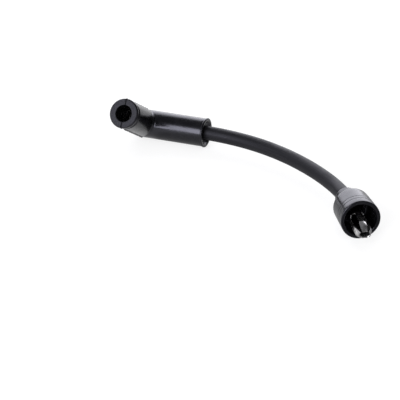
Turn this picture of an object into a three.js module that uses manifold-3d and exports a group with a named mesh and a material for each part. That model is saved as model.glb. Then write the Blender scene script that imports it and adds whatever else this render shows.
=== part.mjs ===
// Short ignition lead: a right-angle plug boot, a 7 mm silicone cable and a straight cup boot.
//
// Frame (mm): +Z up, the lead lies on the plane z = 0 as it comes to rest. +X runs along the cable
// leg of the right-angle boot towards the cup boot, and the origin is under the middle of the
// bounding box of the two boots and their terminals.
//
// Boot coordinates used below:
//   plug boot: corner where its two axes meet at 0, cable leg along +X, plug leg along +Z.
//   coil boot: centre of the mouth plane at 0, +X out of the mouth, the body behind it at -X.

import * as THREE from 'three';
import { mergeVertices } from 'three/addons/utils/BufferGeometryUtils.js';
import Module from 'manifold-3d';

const wasm = await Module();
wasm.setup();

// Clearance left between two pieces that touch in the assembled lead
const SEAT_GAP = 0.3;

// How far a cut passes the surface that it opens
const CUT_PAST = 1;

// Cable
const CABLE_DIAMETER = 7;
const CONDUCTOR_DIAMETER = 2.4;
const CABLE_SIDES = 12;
const CONDUCTOR_SIDES = 8;
const CABLE_STEPS = 28;

// Free run of the cable axis between the boots, as it lies
const CABLE_ROUTE = [
  [-29.61, 33.69, 7.29],
  [-24.27, 33.32, 7.33],
  [-18.96, 32.71, 7.36],
  [-13.66, 31.83, 7.39],
  [-8.45, 30.67, 7.41],
  [-3.33, 29.24, 7.43],
  [1.75, 27.51, 7.45],
  [6.7, 25.53, 7.47],
  [11.57, 23.3, 7.49],
  [16.31, 20.85, 7.52],
  [20.94, 18.18, 7.55],
  [25.46, 15.31, 7.59],
  [29.85, 12.26, 7.63],
  [34.12, 9.02, 7.67],
  [38.22, 5.61, 7.72],
  [42.16, 2.01, 7.79],
  [45.91, -1.8, 7.87],
  [49.43, -5.83, 7.99],
];

// Plug boot, outside
const LEG_DIAMETER = 13.85;
const CABLE_LEG_LENGTH = 32.9;
const PLUG_LEG_LENGTH = 29.5;
const LIP_DIAMETER = 14.6;
const LIP_WIDTH = 1.6;
const BEAD_DIAMETER = 14.5;
const BEAD_WIDTH = 1.1;
const BEAD_FILLET = 0.3;
const BOOT_EDGE_RADIUS = 0.5;
const FLASH_HEIGHT = 0.45;
const FLASH_THICKNESS = 0.5;
const END_RECESS_DIAMETER = 11.4;
const END_RECESS_DEPTH = 2.2;
const END_RECESS_TAPER = 0.4;

// Plug boot, inside
const PLUG_BORE_DIAMETER = 9.1;
const PLUG_BORE_DEPTH = 15;
const MOUTH_CHAMFER = 0.2;
const SEAL_RIB_COUNT = 2;
const SEAL_RIB_HEIGHT = 0.35;
const SEAL_RIB_WIDTH = 1.1;
const SEAL_RIB_PITCH = 3.4;
const FIRST_RIB_DEPTH = 4;
const BORE_CONE_LENGTH = 0.8;
const CRIMP_CAVITY_CONE_LENGTH = 1;

// Plug terminal: a rolled socket, a strap round the heel and two crimps
const SHEET = 0.4;
const PLUG_NUT_DIAMETER = 6.35;
const SOCKET_LENGTH = 11;
const SOCKET_FOOT = 1.6;
const SOCKET_SEAM = 0.8;
const SOCKET_NECK_LENGTH = 0.6;
const SOCKET_NECK_WIDTH = 11.6;
const STRAP_WIDTH = 4.2;
const STRAP_BEND_RADIUS = 1.4;
const STRAP_CROWN_RADIUS = 20;
const STRAP_END_LENGTH = 1.6;
const GROOVE_DEPTH = 0.45;
const GROOVE_WIDTH = 1.4;
const GROOVE_FROM_MOUTH = 3.6;
const SOCKET_FLARE = 0.35;
const SOCKET_FLARE_LENGTH = 1;

// Crimps, alike on both terminals
const WIRE_CRIMP_LENGTH = 3.6;
const JACKET_CRIMP_LENGTH = 5;
const CRIMP_STEP_LENGTH = 2;
const CRIMP_SEAM = 0.5;
const CRIMP_WAIST_WIDTH = 10.4;

// Plug terminal's crimps: where the wire crimp starts along the cable leg
const PLUG_WIRE_CRIMP_START = 5.6;

// Retaining clip in the socket's groove
const CLIP_WIRE_DIAMETER = 0.7;
const CLIP_OPENING_DEG = 50;

// Coil boot
const RIM_DIAMETER = 18.2;
const SHOULDER_DIAMETER = 17;
const CUP_DIAMETER = 15;
const CUP_DEPTH = 13;
const BODY_LENGTH = 15.1;
const SHOULDER_RADIUS = 2;
const NECK_DIAMETER = 10.5;
const NECK_LENGTH = 7.8;
const NECK_EDGE_RADIUS = 1;
const RIM_EDGE_RADIUS = 0.35;
const CUP_FLOOR_RADIUS = 1.5;
const PARTING_HEIGHT = 0.35;
const PARTING_THICKNESS = 0.6;
const PARTING_ROOT_DEPTH = 2;
const PARTING_TURN_DEG = 150;
const HUB_CONE_LENGTH = 0.6;

// Coil terminal: a rolled tube slit into sprung fingers, with two crimps behind
const COIL_SHEET = 0.5;
const BARREL_DIAMETER = 7.2;
const BULGE_DIAMETER = 7.7;
const TIP_DIAMETER = 4.4;
const TIP_OVAL = 0.6;
const TIP_SQUARENESS = 0.2;
const FINGER_COUNT = 4;
const FINGER_SLOT = 3.2;
const FINGER_SLOT_AT_TIP = 0.8;
const FINGER_LENGTH = 14;
const BULGE_FROM_TIP = 6;
const RIDGE_FROM_TIP = 3;
const RIDGE_DIAMETER = 6.9;
const FINGER_BOW = 0.1;
const TIP_PROJECTION = 11;
const BARREL_SEAM = 0.6;
const COIL_WIRE_CRIMP_START = 13;

// How the lead rests
const ELBOW_POSITION = [-65.70, 33.87];
const PLUG_LEG_ROLL_DEG = 57.6;
const COIL_POSITION = [65.60, -29.73];
const COIL_HEADING_DEG = -56.7;
const TERMINAL_LEAN_DEG = 2.2;
const TERMINAL_DROOP_DEG = 3.4;

// Facets
const ROUND_SEGMENTS = 40;
const BORE_SEGMENTS = 28;
const SHEET_SEGMENTS = 18;
const ARC_POINTS = 5;

// Sizes that follow from those above
const legRadius = LEG_DIAMETER / 2;
const beadRadius = BEAD_DIAMETER / 2;
const lipRadius = LIP_DIAMETER / 2;
const cableRadius = CABLE_DIAMETER / 2;
const wireRadius = CONDUCTOR_DIAMETER / 2;
const cableBoreRadius = cableRadius + SEAT_GAP;
const jacketCrimpRadius = cableRadius + SEAT_GAP;
const wireCrimpRadius = wireRadius + SEAT_GAP;
const socketRadius = PLUG_NUT_DIAMETER / 2 + SHEET;
const clipRadius = socketRadius - GROOVE_DEPTH + CLIP_WIRE_DIAMETER / 2 + SEAT_GAP / 2;
const crimpCavityRadius = jacketCrimpRadius + SHEET + SEAT_GAP;
const jacketCrimpStart = PLUG_WIRE_CRIMP_START + WIRE_CRIMP_LENGTH + CRIMP_STEP_LENGTH;
const jacketCrimpEnd = jacketCrimpStart + JACKET_CRIMP_LENGTH;
const rimRadius = RIM_DIAMETER / 2;
const shoulderRadius = SHOULDER_DIAMETER / 2;
const neckStart = BODY_LENGTH + SHOULDER_RADIUS;
const neckEnd = neckStart + NECK_LENGTH;
const coilJacketCrimpStart = COIL_WIRE_CRIMP_START + WIRE_CRIMP_LENGTH + CRIMP_STEP_LENGTH;
const coilJacketCrimpEnd = coilJacketCrimpStart + JACKET_CRIMP_LENGTH;

const rubber = new THREE.MeshStandardMaterial({ color: 0x1c1c1e, roughness: 0.5, metalness: 0 });
const jacketRubber = new THREE.MeshStandardMaterial({ color: 0x2a2a2c, roughness: 0.45, metalness: 0 });
const tinned = new THREE.MeshStandardMaterial({ color: 0xb9b9b6, roughness: 0.32, metalness: 1 });
const springSteel = new THREE.MeshStandardMaterial({ color: 0x8f9092, roughness: 0.35, metalness: 1 });
const carbon = new THREE.MeshStandardMaterial({ color: 0x303032, roughness: 0.8, metalness: 0 });

// Closed mesh with shared corners and no zero-area triangles
function welded(geometry) {
  const bare = geometry.clone();
  bare.deleteAttribute('normal');
  bare.deleteAttribute('uv');
  const merged = mergeVertices(bare, 1e-5);
  const kept = [];
  const index = merged.index.array;
  for (let i = 0; i < index.length; i += 3) {
    const [a, b, c] = [index[i], index[i + 1], index[i + 2]];
    if (a !== b && b !== c && c !== a) kept.push(a, b, c);
  }
  merged.setIndex(kept);
  return merged;
}

// Solid for boolean cuts and joins
function solid(geometry) {
  const mesh = welded(geometry);
  return new wasm.Manifold(new wasm.Mesh({
    numProp: 3,
    vertProperties: new Float32Array(mesh.attributes.position.array),
    triVerts: new Uint32Array(mesh.index.array),
  }));
}

// Geometry of a solid, with flat shaded facets
function geometryOf(body) {
  const mesh = body.getMesh();
  const geometry = new THREE.BufferGeometry();
  geometry.setAttribute('position', new THREE.BufferAttribute(new Float32Array(mesh.vertProperties), 3));
  geometry.setIndex(new THREE.BufferAttribute(new Uint32Array(mesh.triVerts), 1));
  geometry.computeVertexNormals();
  return geometry;
}

// Outline in (distance along the axis, radius) turned about +X. It starts and ends on the axis.
function turned(outline, segments) {
  const profile = outline.map(([along, radius]) => new THREE.Vector2(radius, along));
  const lathe = new THREE.LatheGeometry(profile, segments);
  lathe.rotateZ(-Math.PI / 2);
  return lathe;
}

// Points of a quarter-like arc in the outline plane, from one angle to another in degrees
function arc(centreAlong, centreRadius, radius, fromDeg, toDeg, points = ARC_POINTS) {
  const list = [];
  for (let i = 0; i <= points; i += 1) {
    const angle = THREE.MathUtils.degToRad(fromDeg + ((toDeg - fromDeg) * i) / points);
    list.push([centreAlong + radius * Math.cos(angle), centreRadius + radius * Math.sin(angle)]);
  }
  return list;
}

// How far a roll with flats reaches at an angle, over its reach at the middle of a flat. The flats
// face the four diagonals.
function flatReach(angle) {
  const quarter = Math.PI / 4;
  return 1 / Math.max(Math.abs(Math.cos(angle - quarter)), Math.abs(Math.cos(angle + quarter)));
}

// Sheet metal formed along a path. Each station holds a place and heading of the strip's middle
// line in the XZ plane, the strip's half width and the radius it is rolled to (outer face). A roll
// is round at squareness 0 and has four flats at squareness 1. Its oval draws two opposite flats
// in and moves the other two out by that much.
function formedSheet(stations, thickness, segments) {
  const positions = [];
  for (const { x, z, heading, halfWidth, rollRadius, squareness = 0, oval = 0 } of stations) {
    const inward = [-Math.sin(heading), Math.cos(heading)];
    for (const depth of [0, thickness]) {
      for (let j = 0; j <= segments; j += 1) {
        const along = -halfWidth + (2 * halfWidth * j) / segments;
        const angle = along / rollRadius;
        const round = rollRadius - depth;
        const reach = round * (1 + squareness * (flatReach(angle) - 1)) + oval * Math.sin(2 * angle);
        const side = reach * Math.sin(angle);
        const rise = rollRadius - reach * Math.cos(angle);
        positions.push(x + inward[0] * rise, side, z + inward[1] * rise);
      }
    }
  }
  const row = segments + 1;
  const ring = 2 * row;
  const index = [];
  const quad = (a, b, c, d) => index.push(a, b, c, a, c, d);
  for (let i = 0; i < stations.length - 1; i += 1) {
    const here = i * ring;
    const next = here + ring;
    for (let j = 0; j < segments; j += 1) {
      quad(here + j, here + j + 1, next + j + 1, next + j);
      quad(next + row + j, next + row + j + 1, here + row + j + 1, here + row + j);
    }
    quad(here + row, here, next, next + row);
    quad(here + segments, here + row + segments, next + row + segments, next + segments);
  }
  const last = (stations.length - 1) * ring;
  for (let j = 0; j < segments; j += 1) {
    quad(row + j, row + j + 1, j + 1, j);
    quad(last + j, last + j + 1, last + row + j + 1, last + row + j);
  }
  const geometry = new THREE.BufferGeometry();
  geometry.setAttribute('position', new THREE.Float32BufferAttribute(positions, 3));
  geometry.setIndex(index);
  return geometry;
}

// Half width of a strip that closes to a barrel with the seam left open
function barrelHalfWidth(radius, seam) {
  return Math.PI * radius - seam / 2;
}

// Stations of the two crimps, from the wire crimp to the end of the jacket crimp, on the X axis
function crimpStations(start, direction, sheet) {
  const wire = wireCrimpRadius + sheet;
  const jacket = jacketCrimpRadius + sheet;
  const wireEnd = start + direction * WIRE_CRIMP_LENGTH;
  const jacketStart = wireEnd + direction * CRIMP_STEP_LENGTH;
  const jacketEnd = jacketStart + direction * JACKET_CRIMP_LENGTH;
  const station = (x, radius, seam) => ({
    x,
    z: -radius,
    heading: 0,
    halfWidth: barrelHalfWidth(radius, seam),
    rollRadius: radius,
  });
  const middle = (wire + jacket) / 2;
  return [
    station(start, wire, CRIMP_SEAM),
    station(wireEnd, wire, CRIMP_SEAM),
    { ...station((wireEnd + jacketStart) / 2, middle, CRIMP_SEAM), halfWidth: CRIMP_WAIST_WIDTH / 2 },
    station(jacketStart, jacket, CRIMP_SEAM),
    station(jacketEnd, jacket, CRIMP_SEAM),
  ];
}

// Cable and conductor share one axis through both boots
function sweep(section, curve, steps) {
  return new THREE.ExtrudeGeometry(section, { steps, bevelEnabled: false, extrudePath: curve });
}

function polygon(radius, sides) {
  const corners = [];
  for (let i = 0; i < sides; i += 1) {
    const angle = (2 * Math.PI * i) / sides;
    corners.push(new THREE.Vector2(radius * Math.cos(angle), radius * Math.sin(angle)));
  }
  return corners;
}

// Plug boot: two legs and a round heel, a lip at the mouth, a bead at the cable end and mould flash
function plugBootGeometry() {
  const edge = BOOT_EDGE_RADIUS;
  const lipStep = lipRadius - legRadius;
  const cableLeg = solid(turned([
    [0, 0],
    [0, legRadius],
    [CABLE_LEG_LENGTH - BEAD_WIDTH - BEAD_FILLET, legRadius],
    [CABLE_LEG_LENGTH - BEAD_WIDTH, beadRadius],
    ...arc(CABLE_LEG_LENGTH - edge, beadRadius - edge, edge, 90, 0),
    [CABLE_LEG_LENGTH, 0],
  ], ROUND_SEGMENTS));
  const plugLeg = solid(turned([
    [0, 0],
    [0, legRadius],
    [PLUG_LEG_LENGTH - LIP_WIDTH, legRadius],
    ...arc(PLUG_LEG_LENGTH - LIP_WIDTH + lipStep, legRadius, lipStep, 180, 90, 2),
    ...arc(PLUG_LEG_LENGTH - edge, lipRadius - edge, edge, 90, 0),
    [PLUG_LEG_LENGTH, 0],
  ], ROUND_SEGMENTS).rotateY(-Math.PI / 2));
  const heel = solid(new THREE.SphereGeometry(legRadius, ROUND_SEGMENTS, ROUND_SEGMENTS / 2)
    .rotateX(Math.PI / 2));
  const flashLength = PLUG_LEG_LENGTH - LIP_WIDTH;
  const flashSpan = 2 * (legRadius + FLASH_HEIGHT);
  const flash = solid(new THREE.BoxGeometry(FLASH_THICKNESS, flashSpan, flashLength)
    .translate(0, 0, flashLength / 2));

  const boreStart = PLUG_LEG_LENGTH - PLUG_BORE_DEPTH;
  const bore = PLUG_BORE_DIAMETER / 2;
  const socketCavity = Math.max(clipRadius + CLIP_WIRE_DIAMETER / 2, socketRadius + SOCKET_FLARE) + SEAT_GAP;
  const ribs = [];
  for (let i = SEAL_RIB_COUNT - 1; i >= 0; i -= 1) {
    const top = PLUG_LEG_LENGTH - FIRST_RIB_DEPTH - i * SEAL_RIB_PITCH;
    ribs.push([top - SEAL_RIB_WIDTH, bore]);
    ribs.push([top - SEAL_RIB_WIDTH / 2, bore - SEAL_RIB_HEIGHT]);
    ribs.push([top, bore]);
  }
  const plugCavity = solid(turned([
    [0, 0],
    [0, socketCavity],
    [boreStart - BORE_CONE_LENGTH, socketCavity],
    [boreStart, bore],
    ...ribs,
    [PLUG_LEG_LENGTH - MOUTH_CHAMFER, bore],
    [PLUG_LEG_LENGTH, bore + MOUTH_CHAMFER],
    [PLUG_LEG_LENGTH + CUT_PAST, bore + MOUTH_CHAMFER],
    [PLUG_LEG_LENGTH + CUT_PAST, 0],
  ], BORE_SEGMENTS).rotateY(-Math.PI / 2));
  const cornerCavity = solid(new THREE.SphereGeometry(socketCavity, BORE_SEGMENTS, BORE_SEGMENTS / 2)
    .rotateX(Math.PI / 2));
  const recess = END_RECESS_DIAMETER / 2;
  const cableCavity = solid(turned([
    [0, 0],
    [0, crimpCavityRadius],
    [jacketCrimpEnd + SEAT_GAP, crimpCavityRadius],
    [jacketCrimpEnd + SEAT_GAP + CRIMP_CAVITY_CONE_LENGTH, cableBoreRadius],
    [CABLE_LEG_LENGTH - END_RECESS_DEPTH, cableBoreRadius],
    [CABLE_LEG_LENGTH - END_RECESS_DEPTH, recess - END_RECESS_TAPER],
    [CABLE_LEG_LENGTH, recess],
    [CABLE_LEG_LENGTH + CUT_PAST, recess],
    [CABLE_LEG_LENGTH + CUT_PAST, 0],
  ], BORE_SEGMENTS));

  const outside = cableLeg.add(plugLeg).add(heel).add(flash);
  return geometryOf(outside.subtract(plugCavity).subtract(cornerCavity).subtract(cableCavity));
}

// Plug terminal: crimps on the cable axis, strap round the heel, rolled socket up the plug leg
function plugTerminalGeometry() {
  const halfStrap = STRAP_WIDTH / 2;
  const wall = -socketRadius;
  const floor = -(wireCrimpRadius + SHEET);
  const flat = (x, z, heading) => ({ x, z, heading, halfWidth: halfStrap, rollRadius: STRAP_CROWN_RADIUS });
  const bend = [];
  for (let i = 0; i <= 4; i += 1) {
    const turn = (Math.PI / 2) * (i / 4);
    const x = wall + STRAP_BEND_RADIUS * (1 - Math.cos(turn));
    const z = floor + STRAP_BEND_RADIUS * (1 - Math.sin(turn));
    bend.push(flat(x, z, -(Math.PI / 2 - turn)));
  }
  const up = (z, radius) => ({
    x: -radius,
    z,
    heading: -Math.PI / 2,
    halfWidth: barrelHalfWidth(radius, SOCKET_SEAM),
    rollRadius: radius,
  });
  const mouth = SOCKET_FOOT + SOCKET_LENGTH;
  const groove = mouth - GROOVE_FROM_MOUTH;
  const socket = [
    up(mouth, socketRadius + SOCKET_FLARE),
    up(mouth - SOCKET_FLARE_LENGTH, socketRadius),
    up(groove + GROOVE_WIDTH / 2, socketRadius),
    up(groove + GROOVE_WIDTH / 4, socketRadius - GROOVE_DEPTH),
    up(groove - GROOVE_WIDTH / 4, socketRadius - GROOVE_DEPTH),
    up(groove - GROOVE_WIDTH / 2, socketRadius),
    up(SOCKET_FOOT, socketRadius),
    { ...up(SOCKET_FOOT - SOCKET_NECK_LENGTH, socketRadius), halfWidth: SOCKET_NECK_WIDTH / 2 },
  ];
  const crimps = crimpStations(PLUG_WIRE_CRIMP_START, 1, SHEET);
  const neck = flat(PLUG_WIRE_CRIMP_START - STRAP_END_LENGTH, floor, 0);
  return formedSheet([...socket, ...bend, neck, ...crimps], SHEET, SHEET_SEGMENTS);
}

// Spring clip: a C of round wire in the socket's groove
function clipGeometry() {
  const points = [];
  const opening = THREE.MathUtils.degToRad(CLIP_OPENING_DEG);
  const count = 24;
  for (let i = 0; i <= count; i += 1) {
    const angle = opening / 2 + ((2 * Math.PI - opening) * i) / count;
    points.push(new THREE.Vector3(clipRadius * Math.cos(angle), clipRadius * Math.sin(angle), 0));
  }
  const section = new THREE.Shape(polygon(CLIP_WIRE_DIAMETER / 2, 8));
  return sweep(section, new THREE.CatmullRomCurve3(points), count);
}

// Coil boot: turned cup, rounded shoulder and neck, with two mould parting ridges
function coilBootGeometry() {
  const cup = CUP_DIAMETER / 2;
  const neck = NECK_DIAMETER / 2;
  const hubBore = jacketCrimpRadius + COIL_SHEET + SEAT_GAP;
  const crimpEnd = coilJacketCrimpEnd + SEAT_GAP;
  const body = solid(turned([
    [-neckEnd, 0],
    ...arc(-neckEnd + NECK_EDGE_RADIUS, neck - NECK_EDGE_RADIUS, NECK_EDGE_RADIUS, 180, 90),
    [-neckStart, neck],
    ...arc(-BODY_LENGTH, shoulderRadius - SHOULDER_RADIUS, SHOULDER_RADIUS, 180, 90),
    ...arc(-RIM_EDGE_RADIUS, rimRadius - RIM_EDGE_RADIUS, RIM_EDGE_RADIUS, 90, 0, 3),
    [0, 0],
  ], ROUND_SEGMENTS));
  const slope = Math.atan2(rimRadius - shoulderRadius, BODY_LENGTH);
  const ridgeLength = BODY_LENGTH - SHOULDER_RADIUS;
  const ridge = (turn) => solid(new THREE.BoxGeometry(ridgeLength, PARTING_ROOT_DEPTH, PARTING_THICKNESS)
    .translate(-ridgeLength / 2, -PARTING_ROOT_DEPTH / 2, 0)
    .rotateZ(slope)
    .translate(-SHOULDER_RADIUS / 2, rimRadius - Math.sin(slope) * SHOULDER_RADIUS / 2 + PARTING_HEIGHT, 0)
    .rotateX(THREE.MathUtils.degToRad(PARTING_TURN_DEG) + turn));
  const hollow = solid(turned([
    [-CUP_DEPTH, 0],
    [-CUP_DEPTH, cup - CUP_FLOOR_RADIUS],
    ...arc(-CUP_DEPTH + CUP_FLOOR_RADIUS, cup - CUP_FLOOR_RADIUS, CUP_FLOOR_RADIUS, 180, 90).slice(1),
    [-RIM_EDGE_RADIUS, cup],
    [0, cup + RIM_EDGE_RADIUS],
    [CUT_PAST, cup + RIM_EDGE_RADIUS],
    [CUT_PAST, 0],
  ], ROUND_SEGMENTS));
  const passage = solid(turned([
    [-neckEnd - CUT_PAST, 0],
    [-neckEnd - CUT_PAST, cableBoreRadius],
    [-crimpEnd - HUB_CONE_LENGTH, cableBoreRadius],
    [-crimpEnd, hubBore],
    [-CUP_DEPTH + CUT_PAST, hubBore],
    [-CUP_DEPTH + CUT_PAST, 0],
  ], BORE_SEGMENTS));
  const outside = body.add(ridge(0)).add(ridge(Math.PI));
  return geometryOf(outside.subtract(hollow).subtract(passage));
}

// Coil terminal: barrel slit into sprung fingers that bulge and close in at the tip
function coilTerminalGeometry() {
  const tip = TIP_PROJECTION;
  const station = (x, diameter, closing = 0) => ({
    x,
    z: -diameter / 2,
    heading: 0,
    halfWidth: barrelHalfWidth(diameter / 2, BARREL_SEAM),
    rollRadius: diameter / 2,
    squareness: closing * TIP_SQUARENESS,
    oval: closing * TIP_OVAL,
  });
  const between = (one, other) => (one + other) / 2 + FINGER_BOW;
  const crimps = crimpStations(-COIL_WIRE_CRIMP_START, -1, COIL_SHEET).reverse();
  const barrelBack = -COIL_WIRE_CRIMP_START + CRIMP_STEP_LENGTH;
  const stations = [
    ...crimps,
    station(barrelBack, BARREL_DIAMETER),
    station(tip - FINGER_LENGTH, BARREL_DIAMETER),
    station(tip - (FINGER_LENGTH + BULGE_FROM_TIP) / 2, between(BARREL_DIAMETER, BULGE_DIAMETER)),
    station(tip - BULGE_FROM_TIP, BULGE_DIAMETER),
    station(tip - (BULGE_FROM_TIP + RIDGE_FROM_TIP) / 2, between(BULGE_DIAMETER, RIDGE_DIAMETER), 0.2),
    station(tip - RIDGE_FROM_TIP, RIDGE_DIAMETER, 0.5),
    station(tip - RIDGE_FROM_TIP / 2, between(RIDGE_DIAMETER, TIP_DIAMETER), 0.8),
    station(tip, TIP_DIAMETER, 1),
  ];
  let barrel = solid(formedSheet(stations, COIL_SHEET, SHEET_SEGMENTS + 6));
  const slotOutline = new THREE.Shape([
    new THREE.Vector2(tip - FINGER_LENGTH, -FINGER_SLOT / 2),
    new THREE.Vector2(tip - BULGE_FROM_TIP, -FINGER_SLOT / 2),
    new THREE.Vector2(tip, -FINGER_SLOT_AT_TIP / 2),
    new THREE.Vector2(tip + CUT_PAST, -FINGER_SLOT_AT_TIP / 2),
    new THREE.Vector2(tip + CUT_PAST, FINGER_SLOT_AT_TIP / 2),
    new THREE.Vector2(tip, FINGER_SLOT_AT_TIP / 2),
    new THREE.Vector2(tip - BULGE_FROM_TIP, FINGER_SLOT / 2),
    new THREE.Vector2(tip - FINGER_LENGTH, FINGER_SLOT / 2),
  ]);
  for (let i = 0; i < FINGER_COUNT / 2; i += 1) {
    const slot = new THREE.ExtrudeGeometry(slotOutline, { depth: 2 * BULGE_DIAMETER, bevelEnabled: false })
      .translate(0, 0, -BULGE_DIAMETER)
      .rotateX((2 * Math.PI * i) / FINGER_COUNT);
    barrel = barrel.subtract(solid(slot));
  }
  return geometryOf(barrel);
}

function mesh(name, geometry, material) {
  const piece = new THREE.Mesh(geometry, material);
  piece.name = name;
  return piece;
}

// Plug boot and what it holds, lying on its heel and its bead
const elbowTilt = Math.asin((beadRadius - legRadius) / (CABLE_LEG_LENGTH - BEAD_WIDTH));
const elbow = new THREE.Group();
elbow.position.set(ELBOW_POSITION[0], ELBOW_POSITION[1], legRadius);
elbow.rotation.y = -elbowTilt;
const elbowRoll = new THREE.Group();
elbowRoll.rotation.x = THREE.MathUtils.degToRad(PLUG_LEG_ROLL_DEG);
elbow.add(elbowRoll);
elbowRoll.add(mesh('plug_boot', plugBootGeometry(), rubber));
elbowRoll.add(mesh('plug_terminal', plugTerminalGeometry(), tinned));
const clip = mesh('plug_clip', clipGeometry(), springSteel);
clip.position.z = SOCKET_FOOT + SOCKET_LENGTH - GROOVE_FROM_MOUTH;
elbowRoll.add(clip);

// Coil boot and its terminal, lying on the rim and the shoulder
const coilTilt = Math.asin((rimRadius - shoulderRadius) / BODY_LENGTH);
const coil = new THREE.Group();
coil.position.set(COIL_POSITION[0], COIL_POSITION[1], rimRadius * Math.cos(coilTilt));
coil.rotation.order = 'ZYX';
coil.rotation.set(0, -coilTilt, THREE.MathUtils.degToRad(COIL_HEADING_DEG));
coil.add(mesh('coil_boot', coilBootGeometry(), rubber));
const terminalPivot = new THREE.Group();
terminalPivot.position.x = -(coilJacketCrimpStart + JACKET_CRIMP_LENGTH / 2);
terminalPivot.rotation.order = 'ZYX';
terminalPivot.rotation.set(
  Math.PI / FINGER_COUNT,
  THREE.MathUtils.degToRad(TERMINAL_DROOP_DEG),
  -THREE.MathUtils.degToRad(TERMINAL_LEAN_DEG),
);
const coilTerminal = mesh('coil_terminal', coilTerminalGeometry(), tinned);
coilTerminal.position.x = -terminalPivot.position.x;
terminalPivot.add(coilTerminal);
coil.add(terminalPivot);

const lead = new THREE.Group();
lead.name = 'ignition_lead';
lead.add(elbow);
lead.add(coil);
lead.updateMatrixWorld(true);

// Cable axis: from the jacket's end in the plug boot, through the free run, into the coil boot
const onElbow = (x) => elbow.localToWorld(new THREE.Vector3(x, 0, 0));
const onCoil = (x) => coil.localToWorld(new THREE.Vector3(x, 0, 0));
const onTerminal = (x) => terminalPivot.localToWorld(new THREE.Vector3(x - terminalPivot.position.x, 0, 0));
const jacketStart = jacketCrimpStart + SEAT_GAP;
const coilJacketEnd = coilJacketCrimpStart + SEAT_GAP;
const freeRun = CABLE_ROUTE.map((point) => new THREE.Vector3(...point));
const cableAxis = new THREE.CatmullRomCurve3([
  onElbow(jacketStart),
  onElbow((jacketStart + CABLE_LEG_LENGTH) / 2),
  onElbow(CABLE_LEG_LENGTH - END_RECESS_DEPTH),
  ...freeRun,
  onCoil(-neckEnd),
  onCoil(-coilJacketCrimpEnd),
  onTerminal(-coilJacketEnd),
]);
const conductorAxis = new THREE.CatmullRomCurve3([
  onElbow(PLUG_WIRE_CRIMP_START),
  ...cableAxis.points,
  onTerminal(-COIL_WIRE_CRIMP_START),
]);
const jacketSection = new THREE.Shape(polygon(cableRadius, CABLE_SIDES));
jacketSection.holes.push(new THREE.Path(polygon(wireRadius + SEAT_GAP, CONDUCTOR_SIDES)));
const wireSection = new THREE.Shape(polygon(wireRadius, CONDUCTOR_SIDES));
lead.add(mesh('cable', sweep(jacketSection, cableAxis, CABLE_STEPS), jacketRubber));
lead.add(mesh('conductor', sweep(wireSection, conductorAxis, CABLE_STEPS + 2), carbon));

export default lead;
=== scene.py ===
"""Dressed scene of a short ignition lead: right-angle plug boot, round cable, straight cup boot.

Every new shape is a function of two parameters, worked out on a whole numpy grid. Lengths are in
metres and every piece is placed in the row frame, with its object at the origin.
"""

import sys
import logging
import math
from dataclasses import dataclass, replace
from enum import Enum

import bmesh
import bpy
import numpy as np
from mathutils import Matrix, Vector
from numpy.typing import NDArray


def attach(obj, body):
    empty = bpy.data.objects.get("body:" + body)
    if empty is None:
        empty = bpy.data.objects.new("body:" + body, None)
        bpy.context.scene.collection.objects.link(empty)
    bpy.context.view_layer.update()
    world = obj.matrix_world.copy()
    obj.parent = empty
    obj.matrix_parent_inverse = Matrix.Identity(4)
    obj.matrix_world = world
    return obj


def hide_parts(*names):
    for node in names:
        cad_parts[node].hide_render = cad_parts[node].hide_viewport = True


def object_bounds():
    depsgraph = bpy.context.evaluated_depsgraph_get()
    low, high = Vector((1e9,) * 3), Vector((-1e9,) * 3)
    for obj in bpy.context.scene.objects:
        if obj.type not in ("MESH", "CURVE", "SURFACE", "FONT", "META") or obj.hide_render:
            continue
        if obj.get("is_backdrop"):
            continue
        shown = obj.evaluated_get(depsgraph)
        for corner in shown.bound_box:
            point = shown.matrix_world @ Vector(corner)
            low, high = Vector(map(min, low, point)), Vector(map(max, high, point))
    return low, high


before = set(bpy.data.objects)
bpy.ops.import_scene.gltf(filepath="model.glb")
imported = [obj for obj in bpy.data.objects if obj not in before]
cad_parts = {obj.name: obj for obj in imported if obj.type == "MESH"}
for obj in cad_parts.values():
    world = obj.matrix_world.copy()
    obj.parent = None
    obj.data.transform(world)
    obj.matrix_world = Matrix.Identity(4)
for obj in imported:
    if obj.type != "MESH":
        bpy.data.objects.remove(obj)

MM = 0.001
TURN = 2 * np.pi
BODY = "root"
WHITE = (1.0, 1.0, 1.0)

Array = NDArray[np.float64]
Faces = NDArray[np.int64]
Pair = tuple[float, float]
Triple = tuple[float, float, float]
Socket = bpy.types.NodeSocket

log = logging.getLogger("ignition_lead")


class Slot(Enum):
    """Names of the record's material slots."""

    RUBBER = "boot_rubber"
    JACKET = "cable_jacket"
    TERMINAL = "terminal_metal"
    CLIP = "clip_steel"


class Edge(Enum):
    """How the two ends of a grid's direction meet."""

    OPEN = 0
    CLOSED = 1


class Blend(Enum):
    """What a mix node mixes: its data type, and how its sockets are named."""

    VALUE = ("FLOAT", "Float")
    COLOUR = ("RGBA", "Color")


# Surfaces


def hermite(t: Array, step: Array, ends: tuple[Array, Array], slopes: tuple[Array, Array]) -> Array:
    """Cubic that leaves one value and reaches another with given slopes.

    Args:
        t: Share of the way, from 0 to 1.
        step: Length of the way.
        ends: First and last value.
        slopes: Slope at the first and at the last value.

    Returns:
        The values on the way.
    """
    return (
        ends[0] * (1 + 2 * t) * (1 - t) ** 2
        + slopes[0] * step * t * (1 - t) ** 2
        + ends[1] * t * t * (3 - 2 * t)
        - slopes[1] * step * t * t * (1 - t)
    )


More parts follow.
